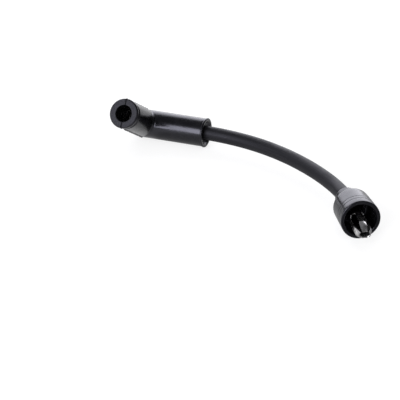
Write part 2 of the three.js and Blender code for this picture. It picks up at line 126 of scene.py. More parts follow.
def smooth_through(keys: Array, at: Array) -> Array:
    """Smooth curve through key values that never overshoots them.

    Cubic pieces. The slope at a key is the harmonic mean of the slopes beside it, and zero where
    those change sign.

    Args:
        keys: One row for each key: its place, then its value.
        at: Places to work out.

    Returns:
        The value at each place.
    """
    x, y = keys[:, 0], keys[:, 1]
    step = np.diff(x)
    rise = np.diff(y) / step
    same = rise[:-1] * rise[1:] > 0
    total = np.where(same, rise[:-1] + rise[1:], 1.0)
    between = np.where(same, 2 * rise[:-1] * rise[1:] / total, 0.0)
    slope = np.concatenate([rise[:1], between, rise[-1:]])
    k = np.clip(np.searchsorted(x, at, side="right") - 1, 0, len(x) - 2)
    t = np.clip((at - x[k]) / step[k], 0, 1)
    return hermite(t, step[k], (y[k], y[k + 1]), (slope[k], slope[k + 1]))


def arc(centre: Pair, radius: float, start: float, end: float, count: int = 6) -> Array:
    """Points of a circular arc in a profile's plane.

    Args:
        centre: The arc's centre: place along the axis, and distance from it.
        radius: The arc's radius.
        start: First angle in degrees, from the axis direction.
        end: Last angle in degrees.
        count: Number of points.

    Returns:
        One row for each point: place along the axis, distance from it.
    """
    a = np.radians(np.linspace(start, end, count))
    return np.stack([centre[0] + radius * np.cos(a), centre[1] + radius * np.sin(a)], axis=1)


def profile(*parts: object) -> Array:
    """One profile from single points and arcs, in order."""
    return np.concatenate([np.atleast_2d(np.asarray(p, float)) for p in parts])


def steps(points: Array) -> Array:
    """Length of each step along a line of points."""
    return np.linalg.norm(np.diff(points, axis=0), axis=1)


def refined(points: Array, step: float) -> Array:
    """The profile again, with points added so that no straight stretch is longer than a step.

    Args:
        points: The profile's corners.
        step: Longest distance left between neighbours.

    Returns:
        The corners with evenly spaced points between them.
    """
    count = np.maximum(1, np.ceil(steps(points) / step).astype(int))
    corner = np.repeat(np.arange(len(count)), count)
    part = np.concatenate([np.arange(c) / c for c in count])[:, None]
    return np.vstack([points[corner] * (1 - part) + points[corner + 1] * part, points[-1:]])


def off_lines(angles: Array, lines: Array) -> Array:
    """Angle from each place round a section to the nearest of some lengthwise lines."""
    return np.abs((angles[:, None] - lines[None, :] + np.pi) % TURN - np.pi).min(axis=1)


def angles_with(lines: Array, fine: Array, count: int) -> Array:
    """Angles round a section, evenly spaced and closer beside some lengthwise lines.

    Args:
        lines: Angles of the lines, in radians.
        fine: Angles to add on each side of a line.
        count: Number of even steps.

    Returns:
        Sorted angles from 0 to just under a full turn.
    """
    even = np.linspace(0, TURN, count, endpoint=False)
    near = (lines[:, None] + np.concatenate([-fine[::-1], [0.0], fine])[None, :]).ravel() % TURN
    spaced = even[off_lines(even, lines) > fine.max() * 1.2]
    return np.unique(np.round(np.concatenate([spaced, near]), 9))


def waver(at: Array, waves: tuple[Pair, ...]) -> Array:
    """Sum of sine waves, each given as its length and its phase, within about plus or minus one."""
    return sum(np.sin(TURN * at / length + phase) for length, phase in waves) / len(waves)


@dataclass(frozen=True)
class Placement:
    """Place and turn of a part: rolled about X, tilted about Y, headed about Z, then moved."""

    origin: Triple = (0.0, 0.0, 0.0)
    heading: float = 0.0
    tilt: float = 0.0
    roll: float = 0.0

    def matrix(self) -> Array:
        """The turn: heading times tilt times roll.

        Returns:
            A 3 by 3 matrix.
        """
        (ch, sh), (ct, st), (cr, sr) = (
            (math.cos(a), math.sin(a)) for a in (self.heading, self.tilt, self.roll)
        )
        turn = np.array([[ch, -sh, 0], [sh, ch, 0], [0, 0, 1]])
        lean = np.array([[ct, 0, st], [0, 1, 0], [-st, 0, ct]])
        spin = np.array([[1, 0, 0], [0, cr, -sr], [0, sr, cr]])
        return turn @ lean @ spin

    def apply(self, points: Array) -> Array:
        """Points of the part in the frame that it is placed in."""
        return points @ self.matrix().T + np.array(self.origin)


@dataclass
class Surface:
    """Points and faces of one piece, with its own map for patterns that follow the surface.

    Attributes:
        points: Three numbers for each point.
        faces: Four point numbers for each quad.
        chart: Distance along and distance round the piece for each point, or None.
        trim: From 0, as moulded, to 1, cut and matt, for each point, or None.
    """

    points: Array
    faces: Faces
    chart: Array | None = None
    trim: Array | None = None

    @classmethod
    def grid(
        cls,
        points: Array,
        along: Edge,
        around: Edge,
        chart: Array | None = None,
        trim: Array | None = None,
    ) -> "Surface":
        """The surface of a grid of points.

        Each quad joins two neighbours in a row with the two below them; a closed direction also
        joins its last line of points with its first.

        Args:
            points: Points by row and column.
            along: Whether the last row joins the first.
            around: Whether each row's last point joins its first.
            chart: Chart by row and column, or None.
            trim: Trim by row and column, or None.

        Returns:
            The surface, its points numbered row by row.
        """
        rows, columns = points.shape[:2]
        i = np.arange(rows if along is Edge.CLOSED else rows - 1)
        j = np.arange(columns if around is Edge.CLOSED else columns - 1)
        i, j = (a.ravel() for a in np.meshgrid(i, j, indexing="ij"))
        below, beside = (i + 1) % rows * columns, (j + 1) % columns
        faces = np.stack([i * columns + j, i * columns + beside, below + beside, below + j], axis=1)
        return cls(
            points.reshape(-1, 3),
            faces,
            None if chart is None else chart.reshape(-1, 2),
            None if trim is None else trim.ravel(),
        )

    def volume(self) -> float:
        """Volume that the faces enclose, negative where they point inwards."""
        p = self.points[self.faces]
        tris = np.concatenate([p[:, [0, 1, 2]], p[:, [0, 2, 3]]])
        return float(np.einsum("ij,ij->i", tris[:, 0], np.cross(tris[:, 1], tris[:, 2])).sum() / 6)

    def placed(self, placement: Placement) -> "Surface":
        """The surface as it stands in the frame that the placement leads to."""
        return replace(self, points=placement.apply(self.points))

    def outward(self) -> "Surface":
        """The surface with its faces pointing out of the volume that they enclose."""
        return self if self.volume() > 0 else replace(self, faces=self.faces[:, ::-1])


# Finishes


@dataclass(frozen=True)
class Noise:
    """A noise pattern: its features in a metre, its octaves and the weight of the finer ones."""

    scale: float
    detail: float = 3.0
    rough: float = 0.5


class NodeBench:
    """Lays out the shader nodes of a material or of the world."""

    def __init__(self, owner: bpy.types.Material | bpy.types.World) -> None:
        """Opens the owner's node tree."""
        owner.use_nodes = True
        self.tree = owner.node_tree

    def node(
        self, kind: str, inputs: dict[str | int, object] | None = None, **settings: object
    ) -> bpy.types.Node:
        """Adds a node.

        Args:
            kind: Blender's name of the node type, without its Shader prefix.
            inputs: Values or sockets for the node's inputs, by name or number.
            settings: Properties of the node.

        Returns:
            The node.
        """
        made = self.tree.nodes.new("ShaderNode" + kind)
        for name, value in settings.items():
            setattr(made, name, value)
        for name, value in (inputs or {}).items():
            self.put(made.inputs[name], value)
        return made

    def put(self, socket: Socket, value: object) -> None:
        """Links a socket into an input, or sets the input's own value.

        Args:
            socket: The input.
            value: An output socket, a value, or three numbers for a colour.
        """
        if isinstance(value, Socket):
            self.tree.links.new(value, socket)
        else:
            socket.default_value = (*value, 1.0) if socket.type == "RGBA" else value

    def shade(self, **inputs: object) -> None:
        """Sets or links the principled shader's inputs, named with underscores for spaces."""
        for name, value in inputs.items():
            self.put(self.tree.nodes["Principled BSDF"].inputs[name.replace("_", " ")], value)

    def place(self, source: str = "Object") -> Socket:
        """Coordinates: Object for the row frame, UV for a piece's chart, Generated for a world."""
        return self.node("TexCoord").outputs[source]

    def noise(self, place: object, noise: Noise) -> Socket:
        """A smooth random value from 0 to 1 about 0.5."""
        inputs = {"Scale": noise.scale, "Detail": noise.detail, "Roughness": noise.rough}
        return self.node("TexNoise", {"Vector": place, **inputs}).outputs["Fac"]

    def drawn(self, scale: Triple, noise: Noise) -> Socket:
        """Noise over the piece's chart, with its own scale along and across."""
        drawn = self.node("Mapping", {"Vector": self.place("UV"), "Scale": scale})
        return self.noise(drawn.outputs["Vector"], noise)

    def spread(
        self, value: object, low: float, high: float, to_low: float = 0.0, to_high: float = 1.0
    ) -> Socket:
        """Carries a value smoothly from one range to another.

        Args:
            value: The value.
            low: Where the first range starts. Lower values are held there.
            high: Where it ends. Higher values are held there.
            to_low: Where the second range starts.
            to_high: Where it ends.

        Returns:
            The carried value.
        """
        ends = {"From Min": low, "From Max": high, "To Min": to_low, "To Max": to_high}
        made = self.node("MapRange", {"Value": value, **ends}, interpolation_type="SMOOTHSTEP")
        return made.outputs["Result"]

    def reckon(self, operation: str, *values: object, **settings: object) -> Socket:
        """Result of a math node's operation on values or sockets."""
        inputs = dict(enumerate(values))
        return self.node("Math", inputs, operation=operation, **settings).outputs[0]

    def mix(self, kind: Blend, share: object, first: object, second: object) -> Socket:
        """Mixes two values or colours.

        Args:
            kind: What is mixed.
            share: Share of the second.
            first: First value, colour or socket.
            second: Second value, colour or socket.

        Returns:
            The mixture.
        """
        data, tail = kind.value
        made = self.node("Mix", data_type=data)
        ins, outs = ({s.identifier: s for s in side} for side in (made.inputs, made.outputs))
        for name, value in (("Factor_Float", share), ("A_" + tail, first), ("B_" + tail, second)):
            self.put(ins[name], value)
        return outs["Result_" + tail]

    def relief(self, *layers: tuple[object, float]) -> Socket:
        """Adds small heights to the surface.

        Args:
            layers: A height from 0 to 1, and its full depth in metres, for each layer.

        Returns:
            The bent normal.
        """
        normal = {}
        for height, depth in layers:
            inputs = {"Height": height, "Strength": 1.0, "Distance": depth, **normal}
            normal = {"Normal": self.node("Bump", inputs).outputs["Normal"]}
        return normal["Normal"]


@dataclass(frozen=True)
class Finish:
    """A finish that pieces are dressed in.

    Attributes:
        name: Name of the material.
        gloss: Lowest and highest roughness.
        shine: Strength of the reflections, where 0.5 is plain plastic.
        tint: Colour of the reflections that meet the surface squarely.
    """

    name: str
    gloss: Pair = (0.22, 0.4)
    shine: float = 0.5
    tint: Triple = WHITE

    def material(self) -> bpy.types.Material:
        """Makes the material once, and finds it again after that.

        Returns:
            The shared material.
        """
        material = bpy.data.materials.get(self.name)
        if material is None:
            material = bpy.data.materials.new(self.name)
            bench = NodeBench(material)
            bench.shade(Specular_IOR_Level=self.shine, Specular_Tint=self.tint)
            self.build(bench)
        return material

    def build(self, bench: NodeBench) -> None:
        """Lays out the nodes. Each finish says how."""
        raise NotImplementedError


@dataclass(frozen=True)
class MouldedRubber(Finish):
    """Black moulded rubber: satin, faintly mottled, with a fine grain and a little bloom.

    Attributes:
        cut: Colour of the palest specks on a trimmed face.
        cut_gloss: Roughness of a trimmed face.
        mottle: Soft patches of bloom.
        speckle: Specks of a trimmed face.
        cloud: Wide patches of more and less gloss.
        depths: Depth in metres of the mottle, of the grain and of a trimmed face's specks.
    """

    black: Triple = (0.0024, 0.0024, 0.0028)
    bloom: Triple = (0.0065, 0.0065, 0.0075)
    cut: Triple = (0.024, 0.024, 0.027)
    gloss: Pair = (0.22, 0.31)
    cut_gloss: float = 0.6
    shine: float = 0.46
    tint: Triple = (0.88, 0.88, 1.0)
    mottle: Noise = Noise(420.0, 4.0, 0.62)
    speckle: Noise = Noise(1500.0, 4.0, 0.7)
    cloud: Noise = Noise(90.0, 2.0)
    grain: Noise = Noise(3600.0, 2.0)
    depths: Triple = (0.02 * MM, 0.006 * MM, 0.12 * MM)

    def build(self, bench: NodeBench) -> None:
        """Mottle sets colour and relief, a cloud the gloss; trimmed faces are paler and matt.

        Args:
            bench: Bench of the new material.
        """
        place = bench.place()
        trim = bench.node("Attribute", attribute_name="trim").outputs["Fac"]
        mottle, speckle = bench.noise(place, self.mottle), bench.noise(place, self.speckle)
        cloud, grain = bench.noise(place, self.cloud), bench.noise(place, self.grain)
        moulded = bench.mix(Blend.COLOUR, bench.spread(mottle, 0.38, 0.74), self.black, self.bloom)
        trimmed = bench.mix(Blend.COLOUR, bench.spread(speckle, 0.46, 0.68), self.bloom, self.cut)
        satin = bench.spread(cloud, 0.3, 0.7, *self.gloss)
        heights = (mottle, grain, bench.reckon("MULTIPLY", speckle, trim))
        bench.shade(
            Base_Color=bench.mix(Blend.COLOUR, trim, moulded, trimmed),
            Roughness=bench.mix(Blend.VALUE, trim, satin, self.cut_gloss),
            Normal=bench.relief(*zip(heights, self.depths)),
        )


@dataclass(frozen=True)
class CableJacket(Finish):
    """Black extruded silicone: satin, with faint streaks along its length.

    Attributes:
        drawn: Features of the streaks in a metre, along and round the cable.
        depths: Depth in metres of the streaks and of the grain.
    """

    black: Triple = (0.0065, 0.0065, 0.0075)
    streak: Triple = (0.0135, 0.0135, 0.0155)
    gloss: Pair = (0.48, 0.58)
    shine: float = 0.28
    tint: Triple = (0.88, 0.88, 1.0)
    drawn: Triple = (18.0, 1100.0, 1.0)
    depths: Pair = (0.02 * MM, 0.008 * MM)

    def build(self, bench: NodeBench) -> None:
        """Noise drawn out along the chart makes streaks; fine noise makes the grain.

        Args:
            bench: Bench of the new material.
        """
        streaks = bench.drawn(self.drawn, Noise(1.0, 4.0, 0.6))
        place = bench.place()
        cloud, grain = bench.noise(place, Noise(120.0)), bench.noise(place, Noise(4200.0, 2.0))
        share = bench.spread(streaks, 0.42, 0.72)
        bench.shade(
            Base_Color=bench.mix(Blend.COLOUR, share, self.black, self.streak),
            Roughness=bench.spread(cloud, 0.3, 0.7, *self.gloss),
            Normal=bench.relief(*zip((streaks, grain), self.depths)),
        )


@dataclass(frozen=True)
class TinnedSheet(Finish):
    """Bright tinned sheet metal with rolling marks and a few dull spots.

    Attributes:
        root: Colour of the painted shade that it goes to where it stands deep in a boot.
        painted_shade_span: Places along the chart where the painted shade is full and where it
            ends.
        drawn: Features of the rolling marks in a metre, along and across the sheet.
        mark_depth: Depth in metres of the rolling marks.
    """

    bright: Triple = (0.78, 0.77, 0.76)
    dull: Triple = (0.36, 0.355, 0.35)
    gloss: Pair = (0.16, 0.34)
    # Painted shade: the colour it is painted deep in a boot, and the span along the chart where
    # that painted shade fades out.
    root: Triple = (0.03, 0.03, 0.032)
    painted_shade_span: Pair = (-6 * MM, -1.5 * MM)
    drawn: Triple = (260.0, 9000.0, 1.0)
    mark_depth: float = 0.0035 * MM

    def build(self, bench: NodeBench) -> None:
        """Rolling marks are noise drawn out along the chart; clouds dull it here and there.

        Args:
            bench: Bench of the new material.
        """
        marks = bench.drawn(self.drawn, Noise(1.0))
        cloud = bench.noise(bench.place(), Noise(520.0, 3.0, 0.6))
        tin = bench.mix(Blend.COLOUR, bench.spread(cloud, 0.45, 0.72), self.bright, self.dull)
        along = bench.node("SeparateXYZ", {"Vector": bench.place("UV")}).outputs["X"]
        bench.shade(
            # Painted shade: the sheet is painted darker towards its root, where it stands deep in a
            # boot.
            Base_Color=bench.mix(Blend.COLOUR, bench.spread(along, *self.painted_shade_span), self.root, tin),
            Metallic=1.0,
            Roughness=bench.spread(cloud, 0.3, 0.75, *self.gloss),
            Normal=bench.relief((marks, self.mark_depth)),
        )


@dataclass(frozen=True)
class SpringWire(Finish):
    """Drawn spring wire: plain bright steel with fine draw marks."""

    steel: Triple = (0.50, 0.50, 0.51)

    def build(self, bench: NodeBench) -> None:
        """Fine noise varies the roughness and the relief.

        Args:
            bench: Bench of the new material.
        """
        grain = bench.noise(bench.place(), Noise(5200.0))
        bench.shade(
            Base_Color=self.steel,
            Metallic=1.0,
            Roughness=bench.spread(grain, 0.3, 0.7, *self.gloss),
            Normal=bench.relief((grain, 0.004 * MM)),
        )


@dataclass(frozen=True)
class CarbonCore(Finish):
    """Carbon-filled fibre core: matt black with a fibre grain."""

    dark: Triple = (0.02, 0.02, 0.022)
    pale: Triple = (0.07, 0.07, 0.075)

    def build(self, bench: NodeBench) -> None:
        """Coarse and fine noise make the fibre grain.

        Args:
            bench: Bench of the new material.
        """
        fibre = bench.noise(bench.place(), Noise(2600.0, 5.0, 0.7))
        share = bench.spread(fibre, 0.35, 0.7)
        bench.shade(
            Base_Color=bench.mix(Blend.COLOUR, share, self.dark, self.pale),
            Roughness=0.8,
            Normal=bench.relief((fibre, 0.04 * MM)),
        )


RUBBER = MouldedRubber("moulded_rubber")
JACKET = CableJacket("silicone_jacket")
TIN = TinnedSheet("tinned_sheet")
# Painted shade: the plug terminal's sheet is painted near black, its bright and dull colours
# standing in for the shade in the plug boot's bore.
BORE_SHADED_TIN = TinnedSheet(
    "bore_shaded_sheet",
    bright=(0.16, 0.155, 0.15),
    dull=(0.05, 0.048, 0.046),
    gloss=(0.35, 0.55),
    painted_shade_span=(-2 * MM, -1 * MM),
)
SPRING = SpringWire("spring_wire")
CORE = CarbonCore("carbon_core")


# Pieces


@dataclass(frozen=True)
class Piece:
    """A visible piece, the CAD node that it stands for, a record's slot that nothing reads, and its
    finish.

    Edges past the crease, an angle in degrees, are shaded sharp.
    """

    name: str
    node: str
    slot: Slot
    finish: Finish
    crease: float = 40.0

    def make(self, surface: Surface) -> bpy.types.Object:
        """Makes the piece's object, with its place in its mesh.

        Args:
            surface: Points and quads in the row frame.

        Returns:
            The new object, riding on the body.
        """
        mesh = bpy.data.meshes.new(self.name)
        mesh.from_pydata(surface.points.tolist(), [], surface.faces.tolist())
        if surface.chart is not None:
            layer = mesh.uv_layers.new(name="chart")
            at_corners = surface.chart[surface.faces.ravel()]
            layer.data.foreach_set("uv", at_corners.astype(np.float32).ravel())
        if surface.trim is not None:
            mark = mesh.attributes.new("trim", "FLOAT", "POINT")
            mark.data.foreach_set("value", surface.trim.astype(np.float32).ravel())
        self.weld(mesh)
        mesh.polygons.foreach_set("use_smooth", np.ones(len(mesh.polygons), bool))
        mesh.set_sharp_from_angle(angle=math.radians(self.crease))
        made = bpy.data.objects.new(self.name, mesh)
        bpy.context.scene.collection.objects.link(made)
        mesh.materials.append(self.finish.material())
        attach(made, BODY)
        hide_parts(self.node)
        log.info("%s: %d faces, %s", self.name, len(mesh.polygons), self.finish.name)
        return made

    @staticmethod
    def weld(mesh: bpy.types.Mesh) -> None:
        """Closes the poles of a grid: points in one place become one, and empty faces go.

        Args:
            mesh: The mesh, changed in place.
        """
        work = bmesh.new()
        work.from_mesh(mesh)
        bmesh.ops.remove_doubles(work, verts=work.verts, dist=2e-7)
        bmesh.ops.dissolve_degenerate(work, edges=work.edges, dist=1e-8)
        work.to_mesh(mesh)
        work.free()

    def make_sheet(self, surface: Surface, thickness: float, edge: float) -> bpy.types.Object:
        """Makes the piece from a skin, with its sheet's thickness inwards and broken edges.

        Args:
            surface: The sheet's outer skin in the row frame.
            thickness: Thickness of the sheet.
            edge: Width of the broken edge.

        Returns:
            The new object, riding on the body.
        """
        made = self.make(surface)
        wall = made.modifiers.new("sheet", "SOLIDIFY")
        wall.thickness = thickness
        wall.offset = -1
        wall.use_even_offset = True
        broken = made.modifiers.new("broken_edges", "BEVEL")
        broken.width = edge
        broken.segments = 2
        broken.limit_method = "ANGLE"
        broken.angle_limit = math.radians(50)
        return made


@dataclass
class PlugBoot:
    """Right-angle boot: two legs of one diameter that meet in a crease, over a round heel.

    Its own frame has the corner of its two axes at 0, the cable leg along +X and the plug leg
    along +Z. It lies on its heel and on its bead, with its plug leg rolled up off the surface.
    """

    # Outside
    leg_diameter: float = 13.85 * MM
    cable_leg: float = 32.9 * MM
    plug_leg: float = 29.5 * MM
    crease_fillet: float = 1.5 * MM
    lip_diameter: float = 14.6 * MM
    lip_width: float = 1.6 * MM
    lip_edge: float = 0.8 * MM
    lip_back: float = 0.3 * MM
    lip_groove: float = 0.42 * MM
    groove_width: float = 2.15 * MM
    groove_taper: float = 0.65 * MM
    bead_diameter: float = 14.5 * MM
    bead_width: float = 1.1 * MM
    bead_dip: float = 0.06 * MM
    bead_run: Pair = (0.35 * MM, 0.15 * MM)
    recess: float = 11.4 * MM
    recess_depth: float = 2.2 * MM
    # Hollow
    bore: float = 9.1 * MM
    bore_depth: float = 15 * MM
    bore_cone: float = 0.8 * MM
    mouth_seal: float = 0.5 * MM
    mouth_seal_width: float = 1.2 * MM
    mouth_seal_back: float = 0.6 * MM
    mouth_round: float = 0.35 * MM
    rib_height: float = 0.35 * MM
    rib_width: float = 1.1 * MM
    rib_pitch: float = 3.4 * MM
    first_rib: float = 4 * MM
    rib_shape: tuple[Pair, ...] = ((0, 0), (0.3, 0.75), (0.5, 1), (0.7, 0.75), (1, 0))
    cavity: float = 8.55 * MM
    cavity_fillet: float = 0.4 * MM
    crimp_cavity: float = 9.0 * MM
    crimp_start: float = 4.8 * MM
    crimp_end: float = 16.5 * MM
    crimp_cones: Pair = (0.5 * MM, 1 * MM)
    cable_bore: float = 7.6 * MM
    # Mould marks
    flash_height: float = 0.5 * MM
    flash_width: float = 0.5 * MM
    flash_waves: tuple[Pair, ...] = ((7.1 * MM, 0.3), (2.9 * MM, 1.7), (1.3 * MM, 0.9))
    tick_depth: float = 0.5 * MM
    tick_width: float = 0.45 * MM
    # Steps of the grid
    around: int = 132
    corner_steps: int = 11
    hollow_corner_steps: int = 5
    mouth_steps: int = 8
    # How it lies
    corner: Pair = (-65.70 * MM, 33.87 * MM)
    roll: float = math.radians(57.6)

    def place(self) -> Placement:
        """Where the unrolled boot lies in the row frame."""
        rise = (self.bead_diameter - self.leg_diameter) / 2
        tilt = math.asin(rise / (self.cable_leg - self.bead_width))
        return Placement((*self.corner, self.leg_diameter / 2), tilt=-tilt)

    def lay(self, surface: Surface) -> Surface:
        """A surface in the boot's own frame as it lies in the row frame."""
        return surface.placed(Placement(roll=self.roll)).placed(self.place())

    def angles(self) -> Array:
        """Angles round both legs, finer beside the two mould lines."""
        fine = np.array([0.04, 0.09, 0.15, 0.26, 0.45, 0.7]) * MM / (self.leg_diameter / 2)
        return angles_with(np.array([0.0, np.pi]), fine, self.around)

    def elbow_skin(
        self, plug: Array, cable: Array, radius: float, fillet: float, turns: int
    ) -> Array:
        """Skin of an elbow, from the far end of the plug leg to the far end of the cable leg.

        A leg's point is its section's circle moved along the leg. Towards the corner the rings
        lean so that on the inner side they end on the crease: there the place along a leg is the
        crease's radius times the sine of the angle. Between the legs, the inner side follows a
        ball of the fillet's radius rolled along the crease, and the outer side a ball as wide as
        the legs.

        Args:
            plug: Profile of the plug leg, place along it and radius, from its far end to 0.
            cable: Profile of the cable leg, from 0 to its far end.
            radius: Radius of both legs at the corner.
            fillet: Radius of the crease.
            turns: Number of steps round the corner.

        Returns:
            Points by row and angle.
        """
        angle = self.angles()
        sine, cosine = np.sin(angle), np.cos(angle)
        inner = np.maximum(sine, 0.0)
        root = (radius + fillet) * inner

        def leaned(stations: Array) -> Array:
            """Place along a leg of each ring's points."""
            fade = np.clip(1 - stations / (2.2 * radius), 0, 1) ** 1.5
            return stations[:, None] + root[None, :] * fade[:, None]

        across, over = plug[:, 1:] * sine, plug[:, 1:] * cosine
        plug_rows = np.stack([across, over, leaned(plug[:, 0])], axis=2)
        across, over = cable[:, 1:] * sine, cable[:, 1:] * cosine
        cable_rows = np.stack([leaned(cable[:, 0]), over, across], axis=2)
        t = np.linspace(0, 1, turns + 2)[1:-1, None]
        centre = (radius + fillet) * np.stack([inner, cosine, inner], axis=1)
        towards_plug = np.stack([-inner, -cosine, 0 * sine], axis=1)
        towards_cable = np.stack([0 * sine, -cosine, -inner], axis=1)
        way = (1 - t[:, :, None]) * towards_plug + t[:, :, None] * towards_cable
        way /= np.linalg.norm(way, axis=2, keepdims=True)
        crease = centre + fillet * way
        swing = t * np.pi / 2
        ball = [sine * np.cos(swing), cosine + 0 * swing, sine * np.sin(swing)]
        heel = radius * np.stack(ball, axis=2)
        corner = np.where((sine > 1e-9)[None, :, None], crease, heel)
        return np.concatenate([plug_rows, corner, cable_rows])

    def outer_profiles(self) -> tuple[Array, Array]:
        """Profiles of the outer skin.

        Returns:
            Plug leg from its mouth edge to 0, and cable leg from 0 to its end face.
        """
        leg, lip, bead = self.leg_diameter / 2, self.lip_diameter / 2, self.bead_diameter / 2
        edge, back, half_bead = self.lip_edge, self.lip_back, self.bead_width / 2
        step = self.plug_leg - self.lip_width
        taper, end = step - self.groove_width, self.cable_leg
        foot = end - self.bead_width
        plug = profile(
            arc((self.plug_leg - edge, lip - edge), edge, 0, 90, 9),
            arc((step + back, lip - back), back, 90, 180, 5),
            (step - 0.02 * MM, leg - self.lip_groove),
            (taper, leg - self.lip_groove),
            (taper - self.groove_taper, leg),
            (0.0, leg),
        )
        cable = profile(
            (0.0, leg),
            (foot - self.bead_run[0], leg),
            (foot - self.bead_run[1], leg - self.bead_dip),
            arc((end - half_bead, bead - half_bead), half_bead, 165, 0, 16),
            (end - 0.05 * MM, self.recess / 2 + 0.3 * MM),
        )
        return refined(plug, 0.5 * MM), refined(cable, 0.5 * MM)

    def inner_profiles(self) -> tuple[Array, Array]:
        """Profiles of the hollow.

        Returns:
            Plug leg from its mouth to 0, and cable leg from 0 to its end recess.
        """
        bore, top, end = self.bore / 2, self.plug_leg, self.cable_leg
        hollow, crimp, cable_bore = self.cavity / 2, self.crimp_cavity / 2, self.cable_bore / 2
        seat, seal, turn = top - self.bore_depth, bore - self.mouth_seal, self.mouth_round
        narrow, floor = top - self.mouth_seal_width, end - self.recess_depth
        ribs = [
            (top - self.first_rib - i * self.rib_pitch - part * self.rib_width,
             bore - self.rib_height * rise)
            for i in range(2)
            for part, rise in self.rib_shape
        ]
        plug = profile(
            arc((top - turn, seal + turn), turn, 0, -90, 6),
            (narrow, seal),
            (narrow - self.mouth_seal_back, bore),
            ribs,
            (seat, bore),
            (seat - self.bore_cone, hollow),
            (0.0, hollow),
        )
        cable = profile(
            (0.0, hollow),
            (self.crimp_start, hollow),
            (self.crimp_start + self.crimp_cones[0], crimp),
            (self.crimp_end, crimp),
            (self.crimp_end + self.crimp_cones[1], cable_bore),
            (floor, cable_bore),
            (floor + 0.3 * MM, cable_bore + 0.7 * MM),
            (end - 0.6 * MM, self.recess / 2 - 0.1 * MM),
            (end - 0.3 * MM, self.recess / 2),
        )
        return refined(plug, 0.9 * MM), refined(cable, 1.2 * MM)

    def flash(self, plug: Array, corner: int, cable: Array) -> Array:
        """Height of the mould flash by row.

        It wavers along the plug leg, is half as high on the lip, and ends past the corner.

        Args:
            plug: Outer profile of the plug leg.
            corner: Number of rows round the corner.
            cable: Outer profile of the cable leg.

        Returns:
            One height for each row of the outer skin.
        """
        ragged = 1 + 0.22 * waver(plug[:, 0], self.flash_waves)
        lip = plug[:, 0] > self.plug_leg - self.lip_width - 0.1 * MM
        height = self.flash_height * np.where(lip, 0.5, 1.0) * ragged
        last = height[-1]
        fade = np.clip(1 - cable[:, 0] / (0.5 * MM), 0, 1)
        return np.concatenate([height, np.full(corner, last), last * fade])

    def surface(self) -> Surface:
        """Whole boot as one grid, closed both ways: the outer skin out, the hollow back.

        On the outer skin the mould flash stands off the plug leg as a thin fin along both mould
        lines, square to the leg's axis; at the mouth the same lines cut a tick across the ring.

        Returns:
            The boot in the row frame, trimmed on its mouth ring and its end face.
        """
        corner, hollow_corner = self.corner_steps, self.hollow_corner_steps
        radius = self.leg_diameter / 2
        plug, cable = self.outer_profiles()
        plug_in, cable_in = self.inner_profiles()
        outer = self.elbow_skin(plug, cable, radius, self.crease_fillet, corner)
        fillet = self.cavity_fillet
        inner = self.elbow_skin(plug_in, cable_in, self.cavity / 2, fillet, hollow_corner)
        off = off_lines(self.angles(), np.array([0.0, np.pi])) * radius
        fin = np.clip(1 - off / (self.flash_width / 2), 0, 1) ** 0.8
        out = outer.copy()
        out[: len(plug), :, 2] = 0
        out[len(plug) + corner:, :, 0] = 0
        out /= np.linalg.norm(out, axis=2, keepdims=True)
        height = self.flash(plug, corner, cable)[:, None] * fin[None, :]
        outer = outer + out * height[:, :, None]
        tick = self.tick_depth * np.clip(1 - off / self.tick_width, 0, 1)
        face_out = plug[:, 0] > self.plug_leg - 0.12 * MM
        face_in = plug_in[:, 0] > self.plug_leg - 0.3 * MM
        outer[: len(plug), :, 2] -= face_out[:, None] * tick[None, :]
        inner[: len(plug_in), :, 2] -= face_in[:, None] * tick[None, :]
        ring = np.linspace(0, 1, self.mouth_steps + 1)[1:-1, None, None]
        mouth = inner[0] * (1 - ring) + outer[0] * ring
        rows = np.concatenate([mouth, outer, inner[::-1]])
        trim = np.zeros(rows.shape[:2])
        trim[: len(mouth) + 2] = 1
        trim[-3:] = 1
        return self.lay(Surface.grid(rows, Edge.CLOSED, Edge.CLOSED, trim=trim)).outward()

    def build(self) -> bpy.types.Object:
        """The boot, standing for its CAD node."""
        return Piece("plug_boot_rubber", "plug_boot", Slot.RUBBER, RUBBER, 38).make(self.surface())


